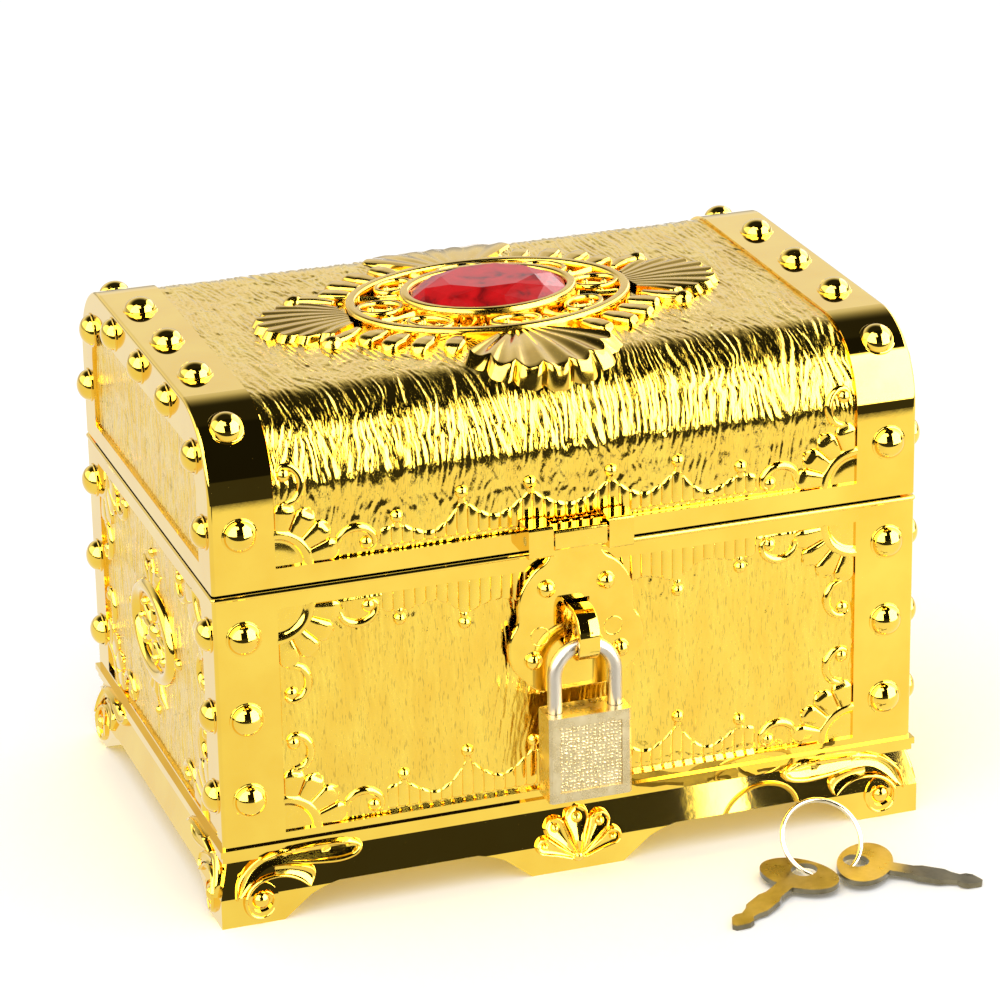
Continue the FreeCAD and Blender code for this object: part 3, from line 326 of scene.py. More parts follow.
def noise(tree, vector, size_mm, detail, distortion=0.0):
    """Noise with patches of a given size."""
    inputs = {"Scale": 1 / (size_mm * MM), "Detail": detail, "Distortion": distortion, "Vector": vector}
    return shader_node(tree, "TexNoise", inputs).outputs["Fac"]


def in_range(tree, value, start, stop, low=0.0, high=1.0, smooth=False):
    """A value that goes from low to high while another goes from start to stop."""
    node = tree.nodes.new("ShaderNodeMapRange")
    if smooth:
        node.interpolation_type = "SMOOTHSTEP"
    fill(tree, node, {"From Min": start, "From Max": stop, "To Min": low, "To Max": high, "Value": value})
    return node.outputs["Result"]


def tones(tree, value, stops):
    """Colours along a value: the first stop, the last, and those between."""
    node = shader_node(tree, "ValToRGB", {"Fac": value})
    elements = node.color_ramp.elements
    for element, (position, colour) in zip(list(elements), (stops[0], stops[-1])):
        element.position, element.color = position, (*colour, 1)
    for position, colour in stops[1:-1]:
        elements.new(position).color = (*colour, 1)
    return node.outputs["Color"]


CLOUD_LOW, CLOUD_HIGH = 0.3, 0.7
CLOUD_DETAIL, PEEL_DETAIL, SHADE_SPECK_DETAIL = 4.0, 3.0, 1.0
COAT_ROUGHNESS, BUMP_DEPTH = 0.03, 0.1


def metal(name, dark, light, rough, patch_mm, bump_mm, bump, coat, stretch=(1, 1, 1), painted_shade_streaks=None, rise=None):
    """Plated metal: two tones, uneven gloss, painted shade as dark specks and streaks in the base colour where
    grain grooves fall in shade, and a fine bump that may grow with height.
    """
    mat, tree, shader = new_material(name)
    place = object_place(tree)
    spread = stretched(tree, place, stretch)
    cloud = noise(tree, spread, patch_mm, CLOUD_DETAIL)
    colour = tones(tree, cloud, ((CLOUD_LOW, dark), (CLOUD_HIGH, light)))
    gloss = in_range(tree, cloud, CLOUD_LOW, CLOUD_HIGH, *rough)
    peel = noise(tree, spread, bump_mm, PEEL_DETAIL)
    lift = shader_node(tree, "Bump", {"Strength": bump, "Distance": BUMP_DEPTH * MM, "Height": peel})
    if rise:
        low_mm, high_mm, low_bump = rise
        height = xyz_of(tree, place)[2]
        fill(tree, lift, {"Strength": in_range(tree, height, low_mm * MM, high_mm * MM, low_bump, bump)})
    # Painted shade: a stretched noise darkens the base colour in specks and short streaks, standing in for the
    # shade inside the grain's grooves.
    if painted_shade_streaks:
        size_mm, low, high, shade, streak_stretch = painted_shade_streaks
        shade_speck = noise(tree, stretched(tree, place, streak_stretch), size_mm, SHADE_SPECK_DETAIL)
        darken = tree.nodes.new("ShaderNodeVectorMath")
        darken.operation = "SCALE"
        fill(tree, darken, {"Vector": colour, "Scale": in_range(tree, shade_speck, low, high, 1.0, shade)})
        colour = darken.outputs["Vector"]
    fill(tree, shader, {"Metallic": 1.0, "Coat Weight": coat, "Coat Roughness": COAT_ROUGHNESS, "Roughness": gloss,
                        "Normal": lift.outputs["Normal"], "Base Color": colour})
    return mat


GOLD_TONES = ((0.93, 0.59, 0.050), (0.99, 0.69, 0.078))
# How the painted-shade streaks are stretched: upright on the walls, running over the lid's curve.
STREAK_UP, STREAK_OVER = (1, 1, 0.16), (1, 0.16, 0.16)
GOLD = metal("gold_plate", *GOLD_TONES, (0.012, 0.025), 14, 2.4, 0.015, 0.6)
GRAIN = metal("gold_grain", *GOLD_TONES, (0.06, 0.12), 5, 0.42, 0.6, 0.6, stretch=(1, 0.35, 0.35),
              painted_shade_streaks=(0.32, 0.60, 0.70, 0.74, STREAK_UP))
LID_GRAIN = metal("gold_lid_grain", *GOLD_TONES, (0.05, 0.10), 5, 0.34, 0.8, 0.6, stretch=(1, 0.3, 0.3),
                  painted_shade_streaks=(0.32, 0.60, 0.70, 0.74, STREAK_OVER), rise=(93.0, 100.0, 0.2))
END_GRAIN = metal("gold_end_grain", *GOLD_TONES, (0.08, 0.16), 5, 0.42, 0.6, 0.15, stretch=(1, 1, 0.35),
                  painted_shade_streaks=(0.32, 0.60, 0.70, 0.76, STREAK_UP))
# Satin gold for the medallion: the rougher gloss is its finish, and its base colour is darker and more orange than
# the plate's as painted shade for the relief's hollows.
SATIN_SHADED_GOLD = metal("gold_satin_painted_shade", (0.76, 0.47, 0.045), (0.87, 0.58, 0.07), (0.10, 0.18), 7, 1.2, 0.10, 0.4)
RELIEF = metal("gold_relief", *GOLD_TONES, (0.06, 0.12), 9, 1.6, 0.08, 0.6)
STUD = metal("gold_stud", *GOLD_TONES, (0.04, 0.08), 6, 1.5, 0.04, 0.6)
HASP = metal("gold_hasp", *GOLD_TONES, (0.03, 0.06), 8, 1.8, 0.05, 0.6)
BRASS = metal("padlock_champagne", (0.60, 0.47, 0.23), (0.70, 0.58, 0.33), (0.22, 0.34), 3, 0.5, 0.2, 0.0)
STEEL = metal("shackle_plate", (0.50, 0.44, 0.33), (0.64, 0.57, 0.45), (0.26, 0.38), 5, 0.5, 0.2, 0.0,
              stretch=(1, 1, 0.2))
KEYS = metal("key_plate", (0.14, 0.118, 0.066), (0.25, 0.215, 0.13), (0.26, 0.38), 4, 0.6, 0.12, 0.0)
WIRE = metal("ring_wire", (0.70, 0.58, 0.33), (0.84, 0.73, 0.48), (0.10, 0.16), 4, 0.8, 0.05, 0.0)
PIN = metal("pin_steel", (0.50, 0.46, 0.38), (0.66, 0.62, 0.54), (0.18, 0.28), 3, 0.6, 0.08, 0.0)
SCREW = metal("screw_steel", (0.46, 0.46, 0.46), (0.62, 0.62, 0.61), (0.24, 0.36), 3, 0.5, 0.10, 0.0)

GEM_PATCH = 5.0
GEM_TONES = ((0.34, (0.16, 0.0, 0.001)), (0.46, (0.42, 0.0, 0.001)), (0.66, (0.56, 0.001, 0.003)))


def gem_material():
    """Red acrylic with a mottled foil behind it and a polished face."""
    mat, tree, shader = new_material("gem_red")
    cloud = noise(tree, object_place(tree), GEM_PATCH, 3.0, distortion=0.6)
    fill(tree, shader, {"Roughness": 0.30, "Specular IOR Level": 0.2, "Coat Weight": 0.45, "Coat Roughness": 0.02,
                        "Base Color": tones(tree, cloud, GEM_TONES)})
    return mat


GEM = gem_material()

NODE_MATERIALS = {
    "box_shell": GOLD, "base_plinth": GOLD, "lid_shell": GOLD, "lock_staple": HASP,
    "hasp_ears": HASP, "hasp_plate": HASP, "lid_gem": GEM, "padlock_case": BRASS,
    "padlock_shackle": STEEL, "padlock_plug": PIN, "padlock_latch": PIN, "hinge_pins": PIN,
    "hasp_pin": PIN, "base_screws": SCREW, "key_one": KEYS, "key_two": KEYS, "key_ring": WIRE,
    "box_studs": STUD, "lid_studs": STUD, "hasp_studs": STUD, "lid_medallion": SATIN_SHADED_GOLD,
}
for node_name, node_material in NODE_MATERIALS.items():
    node_mesh = nodes[node_name].data
    node_mesh.materials.clear()
    node_mesh.materials.append(node_material)


# Grain

def value_noise(rng, u, v, size_u, size_v, facets=False):
    """Noise from 0 to 1 with cells of a given size, smooth or in straight facets across."""
    gu, gv = (u - u.min()) / size_u, (v - v.min()) / size_v
    iu, iv = np.floor(gu).astype(int), np.floor(gv).astype(int)
    knots = rng.random((iu.max() + 2, iv.max() + 2))
    fu, fv = gu - iu, gv - iv
    if not facets:
        fu = fu * fu * (3 - 2 * fu)
    fv = fv * fv * (3 - 2 * fv)
    low = knots[iu, iv] * (1 - fu) + knots[iu + 1, iv] * fu
    high = knots[iu, iv + 1] * (1 - fu) + knots[iu + 1, iv + 1] * fu
    return low * (1 - fv) + high * fv


BARK_PITCH, BARK_LENGTH, BARK_LEAN = 21.0, 17.0, 0.16
GRAIN_BORDER, GRAIN_LEAST = 0.06, 0.04
PHASE_CELL, WARP_CELL = (26.0, 19.0), (7.0, 12.0)
FINE_CELL, BROAD_CELL, SHORT_CELL = (0.5, 9.0), (1.6, 19.0), (0.46, 1.7)
FINE_RISE, BROAD_RISE, SHORT_RISE = 0.20, 0.04, 0.09


def grain_sheet(seed, u, v, deep):
    """Rows of points of bark grain that runs along v, in strips that lean to either side."""
    rng = np.random.default_rng(seed)
    phase = 2.2 * value_noise(rng, u, v, *PHASE_CELL)
    strip = np.tanh(2.5 * np.sin(2 * math.pi * (u / BARK_PITCH + phase)))
    lean = BARK_LEAN * strip * (np.mod(v + 9.0 * phase, BARK_LENGTH) - BARK_LENGTH / 2)
    warp = lean + 1.8 * (value_noise(rng, u, v, *WARP_CELL) - 0.5)
    fine = value_noise(rng, u + warp, v, *FINE_CELL, facets=True)
    broad = value_noise(rng, u + warp, v, *BROAD_CELL)
    short = value_noise(rng, u + 1.3 * warp, v, *SHORT_CELL)
    h = GRAIN_LEAST + deep * (FINE_RISE * fine + BROAD_RISE * broad + SHORT_RISE * short)
    h[0] = h[-1] = h[:, 0] = h[:, -1] = -GRAIN_BORDER
    return np.stack([u, v, h], -1).transpose(1, 0, 2)[:, ::-1]


def flat_grid(u0, u1, v0, v1, du, dv):
    """An even grid of places between two corners."""
    u = np.linspace(u0, u1, int(round((u1 - u0) / du)) + 1)
    v = np.linspace(v0, v1, int(round((v1 - v0) / dv)) + 1)
    return np.meshgrid(u, v, indexing="ij")


GRAIN_DU, GRAIN_DV = 0.22, 0.55
PANEL_GRID = flat_grid(-PANEL_X, PANEL_X, PANEL_LOW, PANEL_HIGH, GRAIN_DU, GRAIN_DV)
END_GRID = flat_grid(-PANEL_END, PANEL_END, PANEL_LOW, PANEL_HIGH, GRAIN_DU, GRAIN_DV)
LID_GRID = flat_grid(-PANEL_X, PANEL_X, 0, LID_PANEL_LENGTH, GRAIN_DU, GRAIN_DV)
LID_RISE, LID_GRAIN_DEPTH = (12.0, 19.0), (0.5, 1.4)
LID_DEEP = np.interp(np.minimum(LID_GRID[1], LID_PANEL_LENGTH - LID_GRID[1]), LID_RISE, LID_GRAIN_DEPTH)
POCKET_R, POCKET_DT = 8.5, 0.022


def pocket_grid():
    """The lid's end pocket: straight sides and a rounded top."""
    u, t = flat_grid(-PANEL_END, PANEL_END, 0, 1, GRAIN_DU, POCKET_DT)
    side = np.clip(np.abs(u) - CURVE_Y, 0, POCKET_R)
    top = CURVE_Z + np.sqrt(POCKET_R ** 2 - side ** 2)
    return u, LID_PANEL_LOW + t * (top - LID_PANEL_LOW)


SHEETS = (
    ("box_front_grain", 11, PANEL_GRID, front, GRAIN, "box", 1.0),
    ("box_back_grain", 12, PANEL_GRID, back, GRAIN, "box", 1.0),
    ("box_left_grain", 13, END_GRID, left_end, END_GRAIN, "box", 1.0),
    ("box_right_grain", 14, END_GRID, right_end, END_GRAIN, "box", 1.0),
    ("lid_left_grain", 15, pocket_grid(), left_end, END_GRAIN, "lid", 1.0),
    ("lid_right_grain", 16, pocket_grid(), right_end, END_GRAIN, "lid", 1.0),
    ("lid_grain", 17, LID_GRID, lid_panel, LID_GRAIN, "lid", LID_DEEP),
)
MOST_ROWS = 160
for name, seed, (grid_u, grid_v), surface, material, body, deep in SHEETS:
    rows = grain_sheet(seed, grid_u, grid_v, deep)
    cuts = [0, len(rows) // 2, len(rows) - 1] if len(rows) > MOST_ROWS else [0, len(rows) - 1]
    for number, (first, last) in enumerate(zip(cuts, cuts[1:])):
        sheet = Relief()
        sheet.grid(rows[first:last + 1])
        part_name = name + ("", "_back")[number]
        piece(part_name, sheet.mesh(part_name, surface), material, body)


# Panel ornament

def hook():
    """A C-scroll beside a panel's edge: u runs along the edge, v into the panel."""
    r = Relief()
    path = [(13.6, 2.6), (14.6, 5.0), (16.8, 6.3), (19.4, 6.2), (21.5, 4.6), (21.9, 2.4), (20.6, 1.3)]
    r.sweep(path, [1.2, 1.9, 2.1, 2.0, 1.7, 1.2], [0.7, 1.0, 1.1, 1.0, 0.8], across=9)
    r.bead(20.2, 2.7, 1.55, 1.25)
    return r


SUN_RADII = np.array([0.02, 3.0, 5.4, 5.7, 6.0, 6.3, 6.4, 6.8, 7.2, 7.6, 8.0, 8.3, 8.55, 8.75])
SUN_HEIGHTS = np.array([0.34, 0.34, 0.34, 0.30, 0.34, 0.55, 0.74, 0.92, 1.04, 1.07, 1.00, 0.82, 0.5, -0.1])
PETAL_DEGREES, PETAL_REACH = (11.5, 34.0, 56.0, 78.5), (8.2, 10.4, 12.6, 14.6)


def sun():
    """A quarter sun in a panel's corner, with a scroll along each edge."""
    r = Relief()
    r.disc(SUN_RADII, SUN_HEIGHTS, a0=-0.02, a1=math.pi / 2 + 0.02, segments=28)
    for degrees in PETAL_DEGREES:
        a = math.radians(degrees)
        path = [(math.cos(a) * d, math.sin(a) * d) for d in PETAL_REACH]
        r.sweep(path, [3.2, 4.1, 4.9, 5.1], [0.85, 1.0, 1.05, 0.95], across=17, power=4.0, step=0.4,
                tips=(False, True))
    scroll = hook()
    r.add(scroll)
    r.add(scroll, swap=True)
    return r


SUN = sun()

BAND_END, END_BELOW, BEAD_BELOW, SCALLOP_POWER = 42.6, 2.2, 1.2, 1.7


def band_depth(x, beads, mids):
    """How far the fluting reaches from the panel's edge at a place along it."""
    places = [BAND_END, beads[0][0], beads[1][0], beads[2][0], -beads[2][0]]
    depths = [beads[0][1] - END_BELOW] + [beads[k][1] - BEAD_BELOW for k in (0, 1, 2, 2)]
    x = abs(x)
    for k in range(4):
        a, b = places[k], places[k + 1]
        if b <= x <= a:
            t = (a - x) / (a - b)
            chord = depths[k] * (1 - t) + depths[k + 1] * t
            if k == 0:
                return chord
            return mids[k - 1] + (chord - mids[k - 1]) * abs(2 * t - 1) ** SCALLOP_POWER
    return depths[0]


FLUTE_PITCH = 2.44
FLUTES = 35
FLUTE_STEPS = 12
FLUTE_ROOT, FLUTE_RISE, FLUTE_END, FLUTE_SINK, FLUTE_NOTCH = 0.20, 0.38, 0.9, 0.1, 0.45
BEVEL_HALF, BEVEL_RISE, BEVEL_RUN = 0.85, 0.97, 1.25


def fluting(beads, mids, start, dot=0.0):
    """A band of round flutes along a panel's edge, their ends on a scalloped line with beads."""
    r = Relief()
    half = FLUTES * FLUTE_PITCH / 2
    u = np.linspace(-half, half, FLUTES * FLUTE_STEPS + 1)
    depth = np.array([band_depth(x, beads, mids) for x in u])
    across = 2 * np.mod(u / FLUTE_PITCH + 0.5, 1) - 1
    round_ = np.sqrt(np.clip(1 - across ** 2, 0, 1))
    crest = FLUTE_ROOT + FLUTE_RISE * round_
    line = []
    if start > 0:
        line = [np.stack([u, np.full_like(u, start), np.full_like(u, -FLUTE_SINK)], -1),
                np.stack([u, np.full_like(u, start), 0.6 * crest], -1)]
    stop = depth - FLUTE_NOTCH * (1 - round_)
    for share in (0.0, 0.3, 0.6, 1.0):
        v = start + 0.25 * (start > 0)
        line.append(np.stack([u, v + share * (stop - FLUTE_END - v), crest], -1))
    for bend in (0.3, 0.55, 0.75, 0.9, 0.98, 1.0):
        h = np.maximum(crest + FLUTE_SINK, 0) * math.sqrt(1 - bend ** 2) - FLUTE_SINK
        line.append(np.stack([u, stop - FLUTE_END * (1 - bend), h], -1))
    r.grid(np.stack(line).transpose(1, 0, 2))
    for k in range(FLUTES):
        x = (k - (FLUTES - 1) / 2) * FLUTE_PITCH
        if dot:
            r.bead(x, 0.8, dot, dot, segments=12, rings=5)
        elif start > 0:
            columns = ((-BEVEL_HALF, 0), (-BEVEL_HALF, 1), (BEVEL_HALF, 1), (BEVEL_HALF, 0))
            rows = ((-0.02, BEVEL_RISE), (0.08, BEVEL_RISE), (BEVEL_RUN, 0.04))
            r.grid(np.array([[(x + du, v, h * up - FLUTE_SINK * (1 - up)) for v, h in rows]
                             for du, up in columns]))
    for x, d in beads:
        for side in (-1, 1):
            r.sweep([(side * x, d - 3.0), (side * x, d - 1.6), (side * x, d - 0.4)], [2.4, 1.7, 1.5],
                    [0.75, 0.8, 0.9], across=9)
            r.bead(side * x, d, 1.5, 1.45)
    return r


BOTTOM_BAND = fluting(((38.9, 8.8), (24.4, 11.9), (9.2, 11.9)), (3.9, 5.4, 5.6), 1.3)
TOP_BAND = fluting(((38.9, 6.8), (24.4, 10.0), (9.2, 10.0)), (4.1, 6.0, 6.0), -0.05)
LID_BAND = fluting(((39.0, 7.6), (24.5, 11.0), (9.2, 11.0)), (3.5, 5.2, 5.4), 1.4, 0.4)


def corner_suns(r, half):
    """A sun in each corner of a panel of the box."""
    for right in (False, True):
        for top in (False, True):
            corner = (half if right else -half, PANEL_HIGH if top else PANEL_LOW)
            r.add(SUN, shift=corner, flip_u=right, flip_v=top)


def box_panel():
    """Four suns and two fluted bands on the long panels of the box."""
    r = Relief()
    corner_suns(r, PANEL_X)
    r.add(BOTTOM_BAND, shift=(0, PANEL_LOW))
    r.add(TOP_BAND, shift=(0, PANEL_HIGH), flip_v=True)
    return r


def lid_front():
    """Two suns and a fluted band on the lid's lower front."""
    r = Relief()
    for right in (False, True):
        r.add(SUN, shift=(PANEL_X if right else -PANEL_X, 0), flip_u=right)
    r.add(LID_BAND)
    return r


def oval(a, b, count=32, centre=(0, 0)):
    """Points round an oval."""
    angles = np.linspace(0, 2 * math.pi, count, endpoint=False)
    return [(centre[0] + a * math.cos(t), centre[1] + b * math.sin(t)) for t in angles]


END_CENTRE = (0.0, 47.5)


def end_panel():
    """An oval rosette with sprays, and a sun in each corner, on the ends of the box."""
    r = Relief()
    corner_suns(r, PANEL_END)
    cu, cv = END_CENTRE
    r.disc(np.linspace(0.01, 1.0, 9), 0.30 + 0.15 * np.linspace(1, 0, 9), centre=END_CENTRE, stretch=(14.5, 9.6))
    r.sweep(oval(14.6, 9.7, centre=END_CENTRE), 3.8, 2.0, closed=True, across=15)
    r.bead(cu, cv, 2.3, 1.9)
    for k in range(8):
        a = 2 * math.pi * k / 8
        c, s = math.cos(a), math.sin(a)
        r.sweep([(cu + 2.6 * c, cv + 2.2 * s), (cu + 6.0 * c, cv + 4.1 * s), (cu + 9.6 * c, cv + 6.0 * s)],
                [1.1, 2.2, 1.3], [1.0, 1.3, 1.1], across=9)
        r.bead(cu + 10.2 * c, cv + 6.4 * s, 1.3, 1.55)
    for way in (-1, 1):
        for lean in (-1, 0, 1):
            path = [(cu + lean * 2.2, cv + way * 11.0), (cu + lean * 4.2, cv + way * 14.2),
                    (cu + lean * 7.6, cv + way * (17.6 if lean == 0 else 15.8))]
            r.sweep(path, [2.2, 3.2, 0.6], [0.9, 1.2, 0.5], across=11)
        r.bead(cu, cv + way * 19.0, 1.2, 1.2)
    for side in (-1, 1):
        r.bead(cu + side * 19.6, cv, 1.4, 1.3)
        r.sweep([(cu + side * 17.0, cv), (cu + side * 18.6, cv)], [1.6, 0.8], 0.9, across=7)
    return r


BOX_PANEL = box_panel()
LID_FRONT = lid_front()
END_PANEL = end_panel()


def lid_back_surface(p):
    """The lid's panel seen from behind."""
    return lid_panel(p) * np.array([-1, -1, 1])


for name, relief, surface, body in (("box_front_ornament", BOX_PANEL, front, "box"),
                                    ("box_back_ornament", BOX_PANEL, back, "box"),
                                    ("box_left_ornament", END_PANEL, left_end, "box"),
                                    ("box_right_ornament", END_PANEL, right_end, "box"),
                                    ("lid_front_ornament", LID_FRONT, lid_panel, "lid"),
                                    ("lid_back_ornament", LID_FRONT, lid_back_surface, "lid")):
    piece(name, relief.mesh(name, surface), RELIEF, body)


# Base ornament: u is the distance from a corner, v the height.

def base_scroll():
    """The acanthus scroll on a corner foot: volute, ball and two spoon-shaped leaves."""
    r = Relief()
    outer = [(3.4, 6.4), (4.2, 10.2), (6.9, 13.3), (10.4, 15.2), (15.0, 16.2), (21.0, 16.5), (26.6, 16.4),
             (30.2, 15.6), (31.7, 14.1), (30.6, 12.7), (27.5, 12.0), (23.4, 12.1), (19.3, 12.5), (15.4, 13.1),
             (12.0, 13.0)]
    r.loft([(4.4, 7.2), (8.2, 11.0), (12.0, 12.8), (19.3, 12.6), (27.5, 12.2), (31.0, 13.6)],
           [(3.6, 7.2), (6.9, 13.2), (15.0, 16.1), (24.0, 16.4), (30.0, 15.4), (31.4, 13.9)],
           [1.0, 0.75, 0.68, 0.75, 1.0], count=40)
    r.sweep(outer, [0.7, 1.0, 1.1, 1.2, 1.3, 1.7, 1.9, 1.6, 0.5], [1.0, 1.3, 1.4, 1.5, 1.5, 1.5, 1.4, 1.2, 0.7],
            sink=0.8, across=11, step=0.35)
    r.loft([(12.4, 11.0), (15.6, 10.6), (18.2, 9.4), (20.0, 7.4)],
           [(12.4, 12.6), (16.5, 12.3), (20.4, 11.2), (21.0, 9.6)], [1.0, 0.8, 0.7, 0.8, 1.0])
    r.sweep([(12.2, 12.5), (16.5, 12.2), (20.2, 11.2), (21.0, 9.8), (20.2, 7.6)], [0.4, 0.8, 1.1, 1.1, 0.8],
            [0.7, 1.0, 1.2, 1.2, 0.8], sink=0.8)
    volute = [(20.0, 7.2), (17.8, 9.0), (15.2, 10.2), (12.2, 10.5), (9.0, 9.9), (6.6, 8.3), (5.5, 6.0), (5.9, 3.5),
              (7.5, 1.9), (9.8, 1.7), (11.5, 3.0), (12.0, 5.0), (11.3, 6.7), (9.9, 7.6)]
    r.sweep(volute, [0.8, 1.1, 1.3, 1.4, 1.4, 1.3, 1.0, 0.7], [0.9, 1.2, 1.3, 1.3, 1.2, 1.0, 0.7, 0.5],
            sink=0.8, across=11, step=0.35)
    r.bead(8.9, 5.6, 2.1, 1.45, sink=0.5)
    return r


def lobe(length, tip):
    """A hollow leaf along v with a raised rim and a ball in its round end."""
    r = Relief()
    side = [(0.45, 1.2), (0.55 * tip, 0.48 * length), (0.9 * tip, length - 1.5 * tip), (tip, length - tip),
            (0.74 * tip, length - 0.32 * tip)]
    mirrored = [(-u, v) for u, v in side]
    r.loft(side + [(0.1, length)], mirrored + [(-0.1, length)], [1.1, 0.8, 0.7, 0.8, 1.1], count=22)
    r.sweep(side + [(0.0, length)] + mirrored[::-1], 1.0, 1.5, sink=0.8, across=11, step=0.3)
    r.bead(0, length - tip, 0.66 * tip, 1.75, sink=0.8)
    return r


def palmette():
    """Five hollow leaves on a middle foot."""
    r = Relief()
    for degrees, length, tip in ((63, 10.6, 1.7), (34, 11.4, 2.1), (0, 11.8, 2.5)):
        leaf = lobe(length, tip)
        for side in (-1, 1) if degrees else (1,):
            r.add(leaf, shift=(0, 3.0), turn=math.radians(side * degrees))
    r.bead(0, 3.4, 1.6, 1.5, sink=0.8)
    return r


SCROLL = base_scroll()
PALMETTE = palmette()
BASE_X, BASE_Y, END_SHARE = 81.3, 54.3, 0.8


def base_face(half, share, middle):
    """The ornament of one side of the base."""
    r = Relief()
    r.add(SCROLL, shift=(-half, 0))
    r.add(SCROLL, shift=(half, 0), flip_u=True)
    if share != 1:
        for block in r.points:
            block[:, 0] = np.sign(block[:, 0]) * (half - (half - np.abs(block[:, 0])) * share)
    if middle:
        r.add(PALMETTE)
    return r


LONG_FACE = base_face(BASE_X, 1, True)
SHORT_FACE = base_face(BASE_Y, END_SHARE, False)
for name, relief, surface in (("base_front_ornament", LONG_FACE, base_front),
                              ("base_back_ornament", LONG_FACE, base_back),
                              ("base_left_ornament", SHORT_FACE, base_left),
                              ("base_right_ornament", SHORT_FACE, base_right)):
    piece(name, relief.mesh(name, surface), RELIEF, "box")


# Medallion

SHELL_SAMPLES = np.linspace(-1, 1, 13)
SHELL_RUN = (0.0, 0.2, 0.4, 0.6, 0.8, 0.92)
SHELL_BEND = (0.0, 0.04, 0.12, 0.3, 0.5, 0.7, 0.88, 1.0)
SHELL_CAP = (1.0, 0.99, 0.93, 0.75, 0.53, 0.31, 0.12, 0.0)
SHELL_SINK, SCALLOP = 0.1, 0.94
PLATE_R, PLATE_REACH, PLATE_DROOP = 19.2, 9.5, 0.10


def level_lift(v):
    """What keeps a level plate level where the lid curves down below it."""
    past = np.clip(np.abs(v) - CURVE_Y, 0, PLATE_REACH)
    return (PLATE_R - PLATE_DROOP * past) / np.cos(past / LID_CURVE_R) - PLATE_R


def shell(r, foot, heading, pitch, lengths, roots, heights, flutes, end, level=0.0):
    """A fan of ribs about a foot, with grooves between them and a sloping wall round their ends."""
    count = len(lengths) - 1
    pitch = math.radians(pitch)
    columns = []
    for k in range(-count, count + 1):
        for w in SHELL_SAMPLES[:-1] if k < count else SHELL_SAMPLES:
            other = min(abs(k + (1 if w > 0 else -1)), count)
            own, near = lengths[abs(k)], lengths[other]
            length = own + abs(w) ** 3 * (SCALLOP * (own + near) / 2 - own)
            root = roots[abs(k)] + abs(w) / 2 * (roots[other] - roots[abs(k)])
            columns.append((heading + (k + w / 2) * pitch, root, length, -(1 - math.cos(math.pi * w)) / 2))
    angle, root, length, groove = np.array(columns).T
    rows = []
    for share in SHELL_RUN:
        rows.append((share * np.ones_like(angle), 1.0))
    for bend, cap in zip(SHELL_BEND, SHELL_CAP):
        rows.append((1 - end * (1 - bend) / (length - root), cap))
    grid = []
    for share, cap in rows:
        share = np.minimum(share, 1.0) if cap < 1 else np.minimum(share, 1 - end / (length - root))
        reach = root + share * (length - root)
        h = np.interp(share, (0, 0.5, 1), heights) + groove * np.interp(share, (0, 1), flutes)
        h = h + level * level_lift(foot[1] + reach * np.sin(angle))
        h = (h + SHELL_SINK) * cap - SHELL_SINK
        h[0] = h[-1] = -SHELL_SINK
        grid.append(np.stack([foot[0] + reach * np.cos(angle), foot[1] + reach * np.sin(angle), h], -1))
    r.grid(np.stack(grid))


SIDE_SHELL = dict(pitch=9.6, lengths=(27.4, 26.9, 25.4, 22.8, 18.6), roots=(5.6, 5.8, 6.3, 7.0, 8.2),
                  heights=(1.8, 2.2, 2.0), flutes=(0.07, 0.32), end=1.4)
FRONT_SHELL = dict(pitch=13.4, lengths=(30.0, 29.6, 28.6, 26.6), roots=(5.0, 5.2, 5.8, 6.8),
                   heights=(1.7, 2.0, 2.0), flutes=(-0.15, -0.85), end=3.8, level=1.0)
BACK_SHELL = dict(FRONT_SHELL, heights=(1.5, 1.3, 0.9), flutes=(0.05, 0.30), end=1.5, level=0.0)
SHELL_FOOT_X, SHELL_FOOT_V = 27.0, 18.4
BED, RING, BEZEL, LOOPS = (32.0, 23.6), (31.2, 22.7), (18.9, 14.4), (25.1, 18.5)
LOOP_SIZES = ((5.0, 3.7), (4.8, 3.3), (5.4, 3.1), (4.8, 3.3))
SPOKE = ((20.0, 15.2), (25.0, 18.6), (30.4, 22.0))
SPRAY = (((27.4, 12.4), (34.8, 16.8)), ((24.0, 16.2), (31.0, 22.2)), ((19.4, 19.2), (25.4, 26.4)),
         ((14.0, 21.6), (18.4, 29.2)))
STEM = ((32.6, 8.8), (36.4, 12.4), (40.6, 14.4))


